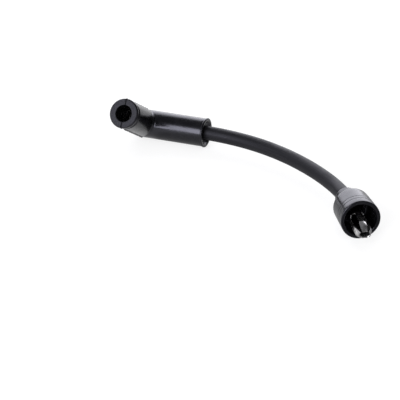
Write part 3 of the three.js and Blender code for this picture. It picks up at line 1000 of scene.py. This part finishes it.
@dataclass
class PlugTerminal:
    """Right-angle terminal rolled from one strip: socket, strap round the heel and two crimps.

    It sits in the plug boot's own frame, with the spring clip in its socket's groove.
    """

    boot: PlugBoot
    sheet: float = 0.4 * MM
    edge: float = 0.05 * MM
    # Socket
    socket_radius: float = 3.575 * MM
    socket_foot: float = 1.6 * MM
    socket_length: float = 11 * MM
    flare: float = 0.35 * MM
    seam: float = 0.8 * MM
    groove_depth: float = 0.45 * MM
    groove_width: float = 1.4 * MM
    groove_from_mouth: float = 3.6 * MM
    # Strap
    strap_width: float = 4.2 * MM
    bend_radius: float = 1.4 * MM
    flat_radius: float = 20 * MM
    # Crimps
    wire_radius: float = 1.9 * MM
    jacket_radius: float = 4.2 * MM
    crimp_seam: float = 0.5 * MM
    crimp_start: float = 5.6 * MM
    wire_crimp: float = 3.6 * MM
    crimp_step: float = 2 * MM
    jacket_crimp: float = 5 * MM
    # Clip
    clip_radius: float = 3.625 * MM
    clip_wire: float = 0.7 * MM
    clip_opening: float = math.radians(50)
    # Steps of the grids
    across: int = 41
    clip_along: int = 72
    clip_around: int = 16

    @property
    def groove(self) -> float:
        """Height of the socket's groove above the corner."""
        return self.socket_foot + self.socket_length - self.groove_from_mouth

    def stations(self) -> Array:
        """Key sections down the strip.

        Returns:
            For each section: x and z of its middle line, heading, half width, roll radius.
        """
        mouth, foot = self.socket_foot + self.socket_length, self.socket_foot
        groove, w, r = self.groove, self.groove_width, self.socket_radius
        sunk, half, flat = r - self.groove_depth, self.strap_width / 2, self.flat_radius
        socket = (
            (mouth, r + self.flare), (mouth - 1 * MM, r), (groove + w / 2, r),
            (groove + w / 4, sunk), (groove - w / 4, sunk), (groove - w / 2, r), (foot, r),
        )
        keys = [(-k, z, -90, math.pi * k - self.seam / 2, k) for z, k in socket]
        keys.append((-r, foot - 0.6 * MM, -90, r * 1.7, r))
        wire, jacket, bend = self.wire_radius, self.jacket_radius, self.bend_radius
        for turn in np.radians(np.linspace(0, 90, 7)):
            x, z = bend * (1 - math.cos(turn)) - r, bend * (1 - math.sin(turn)) - wire
            keys.append((x, z, math.degrees(turn) - 90, half, flat))
        start, middle = self.crimp_start, (wire + jacket) / 2
        step = start + self.wire_crimp
        last = step + self.crimp_step
        keys.append((start - 1.6 * MM, -wire, 0, half, flat))
        end = last + self.jacket_crimp
        for x, k in ((start, wire), (step, wire), (last, jacket), (end, jacket)):
            keys.append((x, -k, 0, math.pi * k - self.crimp_seam / 2, k))
        keys.insert(-2, (step + self.crimp_step / 2, -middle, 0, middle * 1.6, middle))
        return np.array(keys)

    def surface(self) -> Surface:
        """Outer skin of the strip.

        Each section is an arc of the roll radius, wide enough to hold the strip's width, standing
        on the strip's middle line and square to its heading; sections between keys are blended
        evenly.

        Returns:
            The skin in the row frame.
        """
        keys = self.stations()
        length = np.concatenate([[0], np.cumsum(steps(keys[:, :2]))])
        at = refined(length[:, None], 0.35 * MM)
        x, z, heading, half, radius = (np.interp(at, length, keys[:, k]) for k in range(5))
        heading = np.radians(heading)
        across = half * np.linspace(-1, 1, self.across)[None, :]
        angle = across / radius
        side, rise = radius * np.sin(angle), radius * (1 - np.cos(angle))
        points = [x - np.sin(heading) * rise, side, z + np.cos(heading) * rise]
        chart = np.stack(np.broadcast_arrays(at, across), axis=2)
        return self.boot.lay(Surface.grid(np.stack(points, axis=2), Edge.OPEN, Edge.OPEN, chart))

    def clip_surface(self) -> Surface:
        """Round wire bent into an open ring: a circle carried round an arc, its ends domed.

        The wire's radius falls to nothing at each end as the square root of one less the square
        of the distance into the dome.

        Returns:
            The clip in the row frame.
        """
        wire = self.clip_wire / 2
        start, end = self.clip_opening / 2, TURN - self.clip_opening / 2
        dome = wire / self.clip_radius
        into = dome * (1 - np.cos(np.linspace(0, np.pi / 2, 6)))
        middle = np.linspace(start + dome, end - dome, self.clip_along)[1:-1]
        turn = np.concatenate([start + into, middle, end - into[::-1]])[:, None]
        depth = np.clip(np.minimum(turn - start, end - turn) / dome, 0, 1)
        size = wire * np.sqrt(np.clip(1 - (1 - depth) ** 2, 0, 1))
        around = np.linspace(0, TURN, self.clip_around, endpoint=False)
        reach = self.clip_radius + size * np.cos(around)
        points = [reach * np.cos(turn), reach * np.sin(turn), self.groove + size * np.sin(around)]
        ring = Surface.grid(np.stack(points, axis=2), Edge.OPEN, Edge.CLOSED)
        return self.boot.lay(ring).outward()

    def build(self) -> None:
        """The terminal and its clip, each standing for its CAD node."""
        # Its finish is painted near black as painted shade inside the boot's bore.
        sheet = Piece("plug_terminal_sheet", "plug_terminal", Slot.TERMINAL, BORE_SHADED_TIN, 50)
        sheet.make_sheet(self.surface(), self.sheet, self.edge)
        Piece("plug_clip_wire", "plug_clip", Slot.CLIP, SPRING).make(self.clip_surface())


@dataclass
class CoilBoot:
    """Straight cup boot: cup, rounded shoulder and neck, with two mould ridges along the cup.

    Its own frame has the middle of the mouth plane at 0 and +X pointing out of the mouth. It lies
    on its rim and its shoulder.
    """

    # Outside
    rim_diameter: float = 18.2 * MM
    rim_edge: float = 0.35 * MM
    body_length: float = 15.1 * MM
    shoulder_diameter: float = 17 * MM
    shoulder_radius: float = 2 * MM
    neck_diameter: float = 10.5 * MM
    neck_length: float = 7.8 * MM
    neck_root: float = 0.35 * MM
    neck_edge: float = 1 * MM
    # Hollow
    cup_diameter: float = 15 * MM
    cup_depth: float = 13 * MM
    cup_edge: float = 0.3 * MM
    floor_radius: float = 1.5 * MM
    crimp_bore: float = 9.2 * MM
    crimp_end: float = 23.9 * MM
    crimp_cone: float = 0.6 * MM
    cable_bore: float = 7.6 * MM
    bore_edge: float = 0.15 * MM
    # Mould marks
    ridge_height: float = 0.12 * MM
    ridge_width: float = 0.7 * MM
    ridge_turn: float = math.radians(150)
    half_step: float = 0.2 * MM
    step_width: float = 1.3 * MM
    ring_places: Pair = (-3.9 * MM, -6.3 * MM)
    ring_depth: float = 0.07 * MM
    ring_width: float = 0.5 * MM
    # Steps of the grid
    around: int = 140
    # How it lies
    mouth: Pair = (65.60 * MM, -29.73 * MM)
    heading: float = math.radians(-56.7)

    def place(self) -> Placement:
        """Where the boot lies in the row frame."""
        lean = math.asin((self.rim_diameter - self.shoulder_diameter) / 2 / self.body_length)
        height = self.rim_diameter / 2 * math.cos(lean)
        return Placement((*self.mouth, height), self.heading, -lean)

    def section(self) -> Array:
        """Closed profile of the wall, out over the body and back inside.

        Returns:
            Place along the axis and radius of each point.
        """
        rim, shoulder = self.rim_diameter / 2, self.shoulder_diameter / 2
        neck, cup = self.neck_diameter / 2, self.cup_diameter / 2
        crimp, cable = self.crimp_bore / 2, self.cable_bore / 2
        edge, lip, floor = self.rim_edge, self.cup_edge, self.floor_radius
        body, bend = self.body_length, self.shoulder_radius
        turn = -body - bend
        back, root = turn - self.neck_length, self.neck_root
        bottom, end = -self.cup_depth, -self.crimp_end
        rings = [
            (x + part * self.ring_width / 2, shoulder + (rim - shoulder) * (1 + x / body))
            for x in self.ring_places[::-1]
            for part in (-1.0, -0.5, 0.0, 0.5, 1.0)
        ]
        outline = profile(
            (back, cable + self.bore_edge),
            arc((back + self.neck_edge, neck - self.neck_edge), self.neck_edge, 180, 90, 8),
            (turn - root, neck),
            arc((turn - root, neck + root), root, 270, 360, 4),
            arc((-body, shoulder - bend), bend, 180, 90, 12),
            rings,
            arc((-edge, rim - edge), edge, 90, 0, 5),
            arc((-lip, cup + lip + 0.02 * MM), lip, 0, -90, 5),
            arc((bottom + floor, cup - floor), floor, 90, 180, 7),
            (bottom, crimp + 0.2 * MM),
            (bottom - 0.2 * MM, crimp),
            (end, crimp),
            (end - self.crimp_cone, cable),
            (back + self.bore_edge, cable),
        )
        return refined(outline, 0.45 * MM)

    def ridge_run(self, x: Array) -> Array:
        """How high the ridges stand along the cup, tapering out at both ends.

        Args:
            x: Places along the axis.

        Returns:
            A share from 0 to 1 for each place.
        """
        body = -self.body_length
        keys = [
            [body - self.shoulder_radius, 0.0], [body, 0.8], [body + 2.0 * MM, 1.0],
            [-2.5 * MM, 1.0], [-0.6 * MM, 0.7], [0.0, 0.0],
        ]
        return smooth_through(np.array(keys), x)

    def surface(self) -> Surface:
        """The wall's profile carried once round the axis, with mould marks on the cup's outside.

        A ridge lifts the radius as a rounded fin across. The upper half between the two ridges
        stands a step higher, reached evenly over the step's width. A ring lowers the radius
        evenly towards its middle.

        Returns:
            The boot in the row frame.
        """
        radius = self.shoulder_diameter / 2
        fine = np.array([0.06, 0.13, 0.2, 0.28, 0.4, 0.6]) * MM / radius
        lines = np.array([self.ridge_turn, self.ridge_turn + np.pi])
        angle = angles_with(lines, fine, self.around)
        outline = self.section()
        outside = outline[:, 1] > self.cup_diameter / 2 + 0.5 * MM
        run = (outside * self.ridge_run(outline[:, 0]))[:, None]
        off = off_lines(angle, lines) * radius
        fin = np.sqrt(np.clip(1 - (off / (self.ridge_width / 2)) ** 2, 0, 1))
        past = (angle - self.ridge_turn - np.pi) % TURN
        raised = np.clip(np.minimum(past, np.pi - past) * radius / self.step_width, 0, 1)
        step = self.half_step * np.where(past < np.pi, raised, 0.0)
        lift = run * (self.ridge_height * fin + step)
        for ring in self.ring_places:
            groove = np.clip(1 - np.abs(outline[:, 0] - ring) / (self.ring_width / 2), 0, 1)
            lift -= self.ring_depth * (outside * groove)[:, None]
        reach = outline[:, 1:] + lift
        along = np.broadcast_to(outline[:, :1], reach.shape)
        points = np.stack([along, reach * np.cos(angle), reach * np.sin(angle)], axis=2)
        return Surface.grid(points, Edge.CLOSED, Edge.CLOSED).placed(self.place()).outward()

    def build(self) -> bpy.types.Object:
        """The boot, standing for its CAD node."""
        return Piece("coil_boot_rubber", "coil_boot", Slot.RUBBER, RUBBER, 38).make(self.surface())


@dataclass
class CoilTerminal:
    """Terminal rolled from one blank: barrel slit into four sprung fingers, two crimps behind.

    It stands in the coil boot's frame, turned about a pivot in the middle of its jacket crimp.
    """

    boot: CoilBoot
    sheet: float = 0.5 * MM
    edge: float = 0.09 * MM
    # Fingers
    tip: float = 11 * MM
    finger_length: float = 14 * MM
    bulge_from_tip: float = 6 * MM
    slot: float = 3.2 * MM
    slot_at_tip: float = 0.8 * MM
    squareness: float = 0.2
    oval: float = 0.6 * MM
    # Barrel and crimps
    rear: float = -23.6 * MM
    jacket_front: float = -18.6 * MM
    wire_rear: float = -16.6 * MM
    wire_front: float = -13.0 * MM
    barrel: float = -11.0 * MM
    seam: float = 0.6 * MM
    root_radius: float = 3.6 * MM
    jacket_radius: float = 4.3 * MM
    wire_radius: float = 2.0 * MM
    # How it stands
    pivot: float = -21.1 * MM
    lean: float = math.radians(2.2)
    droop: float = math.radians(3.4)
    turn: float = math.radians(45)

    def radii(self) -> Array:
        """Outer radius along the axis, from the jacket crimp's rear end to the tip.

        Returns:
            Place and radius of each key.
        """
        tip, jacket, wire, root = self.tip, self.jacket_radius, self.wire_radius, self.root_radius
        return np.array([
            [self.rear, jacket], [self.jacket_front, jacket], [-17.6 * MM, (jacket + wire) / 2],
            [self.wire_rear, wire], [self.wire_front, wire], [self.barrel, root], [-3.0 * MM, root],
            [tip - 10.0 * MM, 3.77 * MM], [tip - 6.0 * MM, 3.85 * MM], [tip - 4.5 * MM, 3.72 * MM],
            [tip - 3.0 * MM, 3.45 * MM], [tip - 1.5 * MM, 2.875 * MM], [tip, 2.2 * MM],
        ])

    def closing(self) -> Array:
        """How far the fingers have closed, 0 at the bulge and 1 at the tip, by place."""
        tip = self.tip
        return np.array([
            [self.rear, 0.0], [tip - self.bulge_from_tip, 0.0], [tip - 4.5 * MM, 0.2],
            [tip - 3.0 * MM, 0.5], [tip - 1.5 * MM, 0.8], [tip, 1.0],
        ])

    def reach(self) -> Array:
        """Share of the way round that the blank holds, less where it steps down, by place."""
        return np.array([
            [self.rear, 1.0], [self.jacket_front, 1.0], [-17.9 * MM, 0.56], [-17.3 * MM, 0.56],
            [self.wire_rear, 1.0], [self.wire_front, 1.0], [-12.2 * MM, 0.62], [self.barrel, 1.0],
            [self.tip, 1.0],
        ])

    def apply(self, points: Array) -> Array:
        """Points of the terminal's own frame in the row frame."""
        pivot = Placement((self.pivot, 0, 0), -self.lean, self.droop, self.turn)
        return self.boot.place().apply(pivot.apply(points - np.array([self.pivot, 0, 0])))

    def angles(self, fingers: Array, seam: Array) -> tuple[Array, Array, list[slice]]:
        """Angles round the blank, finger by finger, with the slots' own columns between them.

        Args:
            fingers: Half the angle that a slot takes, by row.
            seam: Half the angle that the seam takes, by row.

        Returns:
            Angles by row and column, whether the faces beside each column are metal, and the
            columns inside each slot.
        """
        share, fill = np.linspace(0, 1, 13), self.slot_fill()
        quarter = np.pi / 2
        columns, metal, slots = [], [], []
        for k in range(4):
            low = (k * quarter - np.pi + (fingers if k else seam))[:, None]
            high = ((k + 1) * quarter - np.pi - (fingers if k < 3 else seam))[:, None]
            columns.append(low * (1 - share) + high * share)
            metal += [True] * (len(share) - 1)
            if k < 3:
                first = len(metal) + 1
                slots.append(slice(first, first + len(fill)))
                columns.append((k + 1) * quarter - np.pi + fingers[:, None] * fill)
                metal += [False] * (len(fill) + 1)
        return np.concatenate(columns, axis=1), np.array(metal), slots

    @staticmethod
    def slot_fill() -> Array:
        """Places of the columns across a slot, from -1 to 1 without its edges."""
        return np.linspace(-1, 1, 7)[1:-1]

    def surface(self) -> Surface:
        """Outer skin: the radius carried round the axis as far as the blank's width reaches.

        Slots part the front into four fingers. A slot's edge lies at the angle whose sine is half
        the slot over the radius. Past the bulge the slots narrow evenly and the fingers close: the
        round section turns by a share into four flats, where the reach is the flat's distance over
        the cosine of the angle from the flat's middle, and the sine of twice the angle draws the
        upper and lower fingers in and the side ones out. Each slot ends in a half circle. Behind
        the slots the blank goes on whole, apart from the seam, and opens where it steps down to
        the wire crimp.

        Returns:
            The skin in the row frame, without the faces of the slots.
        """
        front = self.tip - self.finger_length
        x = np.unique(np.round(np.concatenate([
            np.linspace(self.rear, self.jacket_front, 11),
            np.linspace(self.jacket_front, self.barrel, 24),
            np.linspace(self.barrel, front, 18),
            np.linspace(front, self.tip, 64),
        ]), 9))
        radius = smooth_through(self.radii(), x)
        closing = smooth_through(self.closing(), x)[:, None]
        slotted = x >= front - 1e-9
        past_bulge = np.clip((x - self.tip + self.bulge_from_tip) / self.bulge_from_tip, 0, 1)
        slot = self.slot + (self.slot_at_tip - self.slot) * past_bulge
        open_half = np.arcsin(slot / 2 / np.where(slotted, radius, self.root_radius))
        seam_half = np.where(slotted, open_half, self.seam / 2 / radius)
        angle, metal, slots = self.angles(open_half, seam_half)
        angle = angle * smooth_through(self.reach(), x)[:, None]
        along = np.repeat(x[:, None], angle.shape[1], axis=1)
        start = int(np.argmax(slotted))
        bow = radius[start] * open_half[start] * np.sqrt(1 - self.slot_fill() ** 2)
        fade = np.clip(1 - (x[start] - x[: start + 1]) / (3 * MM), 0, 1)
        for inside in slots:
            along[: start + 1, inside] -= fade[:, None] * bow[None, :]
        size = smooth_through(self.radii(), along.ravel()).reshape(along.shape)
        flats = (np.abs(np.cos(angle - np.pi / 4)), np.abs(np.cos(angle + np.pi / 4)))
        size = size * (1 + self.squareness * closing * (1 / np.maximum(*flats) - 1))
        size = size + self.oval * closing * np.sin(2 * angle)
        points = np.stack([along, size * np.sin(angle), -size * np.cos(angle)], axis=2)
        chart = np.stack([along, angle * self.root_radius], axis=2)
        skin = Surface.grid(points, Edge.OPEN, Edge.OPEN, chart)
        row, column = np.divmod(skin.faces[:, 0], angle.shape[1])
        kept = skin.faces[(row < start) | metal[column]]
        return replace(skin, points=self.apply(skin.points), faces=kept)

    def build(self) -> bpy.types.Object:
        """The terminal, standing for its CAD node."""
        sheet = Piece("coil_terminal_sheet", "coil_terminal", Slot.TERMINAL, TIN, 50)
        return sheet.make_sheet(self.surface(), self.sheet, self.edge)


@dataclass
class Cable:
    """Round jacketed cable from the plug terminal's crimp to the coil terminal's crimp."""

    plug_boot: PlugBoot
    coil_boot: CoilBoot
    coil_terminal: CoilTerminal
    diameter: float = 7 * MM
    hole: float = 3 * MM
    # Places along the plug boot's cable leg
    in_plug_boot: Triple = (11.5 * MM, 22.2 * MM, 30.9 * MM)
    # Route between the boots, in millimetres in the row frame
    route: tuple[Triple, ...] = (
        (-29.61, 33.69, 7.29), (-24.27, 33.32, 7.33), (-18.96, 32.71, 7.36), (-13.66, 31.83, 7.39),
        (-8.45, 30.67, 7.41), (-3.33, 29.24, 7.43), (1.75, 27.51, 7.45), (6.70, 25.53, 7.47),
        (11.57, 23.30, 7.49), (16.31, 20.85, 7.52), (20.94, 18.18, 7.55), (25.46, 15.31, 7.59),
        (29.85, 12.26, 7.63), (34.12, 9.02, 7.67), (38.22, 5.61, 7.72), (42.16, 2.01, 7.79),
        (45.91, -1.80, 7.87), (49.43, -5.83, 7.99),
    )
    # Places along the coil boot's axis, and along the coil terminal's
    in_coil_boot: Pair = (-24.9 * MM, -23.6 * MM)
    in_crimp: float = -18.9 * MM
    # Steps of the grid
    along: int = 260
    around: int = 57

    def keys(self) -> Array:
        """The route's points.

        Returns:
            Points in the row frame, from inside the plug boot to inside the coil boot.
        """
        along_x = np.array([1.0, 0.0, 0.0])
        return np.vstack([
            self.plug_boot.place().apply(np.outer(self.in_plug_boot, along_x)),
            np.array(self.route) * MM,
            self.coil_boot.place().apply(np.outer(self.in_coil_boot, along_x)),
            self.coil_terminal.apply(np.outer(self.in_crimp, along_x)),
        ])

    def centreline(self) -> Array:
        """Smooth line through the keys, each coordinate carried by its own cubic in chord length.

        The slope at a key is the mean of the slopes beside it, each weighted by the other's
        length.

        Returns:
            Points along the cable's middle.
        """
        keys = self.keys()
        chord = steps(keys)[:, None]
        rise = np.diff(keys, axis=0) / chord
        between = (rise[:-1] * chord[1:] + rise[1:] * chord[:-1]) / (chord[:-1] + chord[1:])
        slope = np.vstack([rise[:1], between, rise[-1:]])
        at = np.concatenate([[0], np.cumsum(chord)])
        s = np.linspace(0, at[-1], self.along)
        k = np.clip(np.searchsorted(at, s, side="right") - 1, 0, len(chord) - 1)
        t = (s - at[k])[:, None] / chord[k]
        return hermite(t, chord[k], (keys[k], keys[k + 1]), (slope[k], slope[k + 1]))

    def surface(self) -> Surface:
        """Tube with a hole: an outer circle carried along the line, an inner one carried back.

        Returns:
            The jacket in the row frame, charted along and round it.
        """
        line = self.centreline()
        ahead = np.gradient(line, axis=0)
        ahead /= np.linalg.norm(ahead, axis=1, keepdims=True)
        side = np.cross(ahead, np.array([0, 0, 1.0]))
        side /= np.linalg.norm(side, axis=1, keepdims=True)
        up = np.cross(side, ahead)
        around = np.linspace(0, TURN, self.around)
        cosine, sine = np.cos(around)[None, :, None], np.sin(around)[None, :, None]
        circle = cosine * side[:, None] + sine * up[:, None]
        outer, inner = (line[:, None] + d / 2 * circle for d in (self.diameter, self.hole))
        along = np.concatenate([[0], np.cumsum(steps(line))])
        along = np.concatenate([along, along[::-1]])[:, None]
        chart = np.stack(np.broadcast_arrays(along, around * self.diameter / 2), axis=2)
        rows = np.concatenate([outer, inner[::-1]])
        return Surface.grid(rows, Edge.CLOSED, Edge.OPEN, chart).outward()

    def build(self) -> bpy.types.Object:
        """The jacket, standing for its CAD node."""
        return Piece("cable_jacket_tube", "cable", Slot.JACKET, JACKET, 50).make(self.surface())

    def declare(self, ends: list[bpy.types.Object]) -> None:
        """Works out the jacket's middle line and where the plug boot's cable leg ends, and keeps
        neither.

        Args:
            ends: The pieces on its far end. Not used.
        """
        line = self.centreline()
        leaves = self.plug_boot.place().apply(np.array([[self.plug_boot.cable_leg, 0, 0]]))[0]
        tuple(leaves)


# Studio


@dataclass(frozen=True)
class Lamp:
    """A soft rectangular lamp, placed by angles in degrees. Its face is white at a bright of 1."""

    name: str
    azimuth: float
    elevation: float
    size: Pair
    bright: float
    distance: float = 1.2


@dataclass
class Studio:
    """Camera, pale floor, soft lamps and world. Angles are in degrees, the lens in millimetres."""

    # Camera
    target: Triple = (-0.01454, -0.02114, 0.0)
    azimuth: float = 21.6
    elevation: float = 27.0
    distance: float = 0.9
    lens: float = 174.96
    # Lamps, and the colour of their light and of the mirrored surroundings
    lamps: tuple[Lamp, ...] = (
        Lamp("back_softbox", 203, 24, (1.6, 1.0), 2.9),
        Lamp("front_softbox", -14, 23.6, (0.8, 0.72), 7.8),
    )
    air: Triple = (0.94, 0.94, 1.0)
    # World: diffuse light, and what surfaces mirror low down, overhead and to the right
    ambient: float = 0.45
    horizon: float = 0.5
    ceiling: float = 0.15
    right_side: float = 0.1
    overhead: Pair = (0.6, 0.85)
    # Floor: half its width, how pale it is, how much brighter the eye sees it, and what surfaces
    # mirror of it, with the places where that fades out
    floor_half: float = 6.0
    floor_colour: float = 0.3
    floor_lift: float = 0.77
    floor_sheen: float = 0.42
    sheen_end: Pair = (45 * MM, 75 * MM)
    left_sheen: float = 0.35
    left_end: Pair = (-62 * MM, -56 * MM)

    def stand(
        self, name: str, data: bpy.types.ID, way: Pair, distance: float, at: Triple
    ) -> bpy.types.Object:
        """Stands a camera or lamp off a point and turns it to look at the point.

        Args:
            name: Name of the object.
            data: The camera or lamp.
            way: Azimuth and elevation from the point, in degrees.
            distance: Distance from the point.
            at: The point.

        Returns:
            The object.
        """
        azimuth, elevation = (math.radians(a) for a in way)
        flat = math.cos(elevation)
        back = Vector((math.sin(azimuth) * flat, -math.cos(azimuth) * flat, math.sin(elevation)))
        thing = bpy.data.objects.new(name, data)
        thing.location = Vector(at) + back * distance
        thing.rotation_mode = "QUATERNION"
        thing.rotation_quaternion = (-back).to_track_quat("-Z", "Y")
        bpy.context.scene.collection.objects.link(thing)
        return thing

    def camera(self) -> None:
        """Camera at the photograph's angle, without shift or depth of field."""
        data = bpy.data.cameras.new("camera")
        data.lens = self.lens
        data.sensor_width = 36
        data.clip_start, data.clip_end = 0.05, 50
        way = (self.azimuth, self.elevation)
        bpy.context.scene.camera = self.stand("camera", data, way, self.distance, self.target)

    def light(self, lamp: Lamp) -> None:
        """Adds a lamp, with the power that makes its face as bright as it says.

        Args:
            lamp: The lamp.
        """
        data = bpy.data.lights.new(lamp.name, "AREA")
        data.shape = "RECTANGLE"
        data.size, data.size_y = lamp.size
        data.energy = lamp.bright * math.pi * lamp.size[0] * lamp.size[1]
        data.color = self.air
        way = (lamp.azimuth, lamp.elevation)
        thing = self.stand(lamp.name, data, way, lamp.distance, (0.0, 0.0, 0.01))
        thing.visible_camera = False

    def world(self) -> None:
        """World: white for the eye, plain for diffuse light, and for reflections a soft room.

        The room is bright low down, darker overhead and darker to the right.
        """
        world = bpy.data.worlds.new("studio")
        bpy.context.scene.world = world
        bench = NodeBench(world)
        bench.tree.nodes.clear()
        way = bench.node("SeparateXYZ", {0: bench.place("Generated")}).outputs
        height = bench.spread(way["Z"], *self.overhead, self.horizon, self.ceiling)
        side = bench.spread(way["X"], 0.0, 0.7, 0.0, self.right_side - self.horizon)
        room = bench.reckon("ADD", height, side, use_clamp=True)
        path = bench.node("LightPath").outputs
        seen = bench.reckon("MAXIMUM", path["Is Glossy Ray"], path["Is Transmission Ray"])
        plain, mirrored, eye = (
            bench.node("Background", {"Color": colour, "Strength": strength}).outputs[0]
            for colour, strength in ((WHITE, self.ambient), (self.air, room), (WHITE, 1.0))
        )
        first = bench.node("MixShader", {0: seen, 1: plain, 2: mirrored}).outputs[0]
        last = bench.node("MixShader", {0: path["Is Camera Ray"], 1: first, 2: eye}).outputs[0]
        bench.node("OutputWorld", {"Surface": last})

    def floor(self) -> None:
        """Plain pale floor under the lead, which keeps its shadow.

        The eye sees it lifted towards white. Surfaces mirror a sheen of it that ends on the right
        and is stronger on the left.
        """
        half = self.floor_half
        corners = [(-half, -half), (half, -half), (half, half), (-half, half)]
        mesh = bpy.data.meshes.new("floor")
        mesh.from_pydata([(x, y, -0.03 * MM) for x, y in corners], [], [(0, 1, 2, 3)])
        floor = bpy.data.objects.new("floor", mesh)
        bpy.context.scene.collection.objects.link(floor)
        material = bpy.data.materials.new("pale_floor")
        bench = NodeBench(material)
        bench.tree.nodes.clear()
        x = bench.node("SeparateXYZ", {0: bench.place()}).outputs["X"]
        wide = bench.spread(x, *self.sheen_end, self.floor_sheen, 0.0)
        left = bench.spread(x, *self.left_end, self.left_sheen, 0.0)
        path = bench.node("LightPath").outputs
        sheen = bench.reckon("MULTIPLY", path["Is Glossy Ray"], bench.reckon("ADD", wide, left))
        lift = bench.reckon("MULTIPLY_ADD", path["Is Camera Ray"], self.floor_lift, sheen)
        glow = bench.node("Emission", {"Strength": lift}).outputs[0]
        matt = bench.node("BsdfDiffuse", {"Color": (self.floor_colour,) * 3}).outputs[0]
        total = bench.node("AddShader", {0: matt, 1: glow}).outputs[0]
        bench.node("OutputMaterial", {"Surface": total})
        mesh.materials.append(material)
        floor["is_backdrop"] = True

    def build(self) -> None:
        """Lamps, world and floor."""
        for lamp in self.lamps:
            self.light(lamp)
        self.world()
        self.floor()
        bpy.context.scene.view_settings.view_transform = "Standard"


def write_sizes(cad: tuple[object, object]) -> None:
    """Writes the CAD model's box and the dressed model's box.

    Args:
        cad: Lowest and highest corner of the CAD model.
    """
    boxes = {"cad": cad, "visual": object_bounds()}
    for name, box in boxes.items():
        low, high = ([round(v / MM, 2) for v in corner] for corner in box)
        log.info("%s box: %s to %s mm", name, low, high)


def main() -> None:
    """Builds the lead and its studio in order."""
    logging.basicConfig(level=logging.INFO, format="%(name)s %(message)s", stream=sys.stdout)
    cad_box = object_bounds()
    studio = Studio()
    studio.camera()
    plug_boot, coil_boot = PlugBoot(), CoilBoot()
    coil_terminal = CoilTerminal(coil_boot)
    cable = Cable(plug_boot, coil_boot, coil_terminal)
    jacket = cable.build()
    plug_boot.build()
    PlugTerminal(plug_boot).build()
    cable.declare([coil_boot.build(), coil_terminal.build()])
    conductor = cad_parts["conductor"]
    conductor.data.materials.clear()
    conductor.data.materials.append(CORE.material())
    log.info("conductor: carried over, %s", CORE.name)
    studio.build()
    write_sizes(cad_box)


if __name__ == "__main__":
    main()
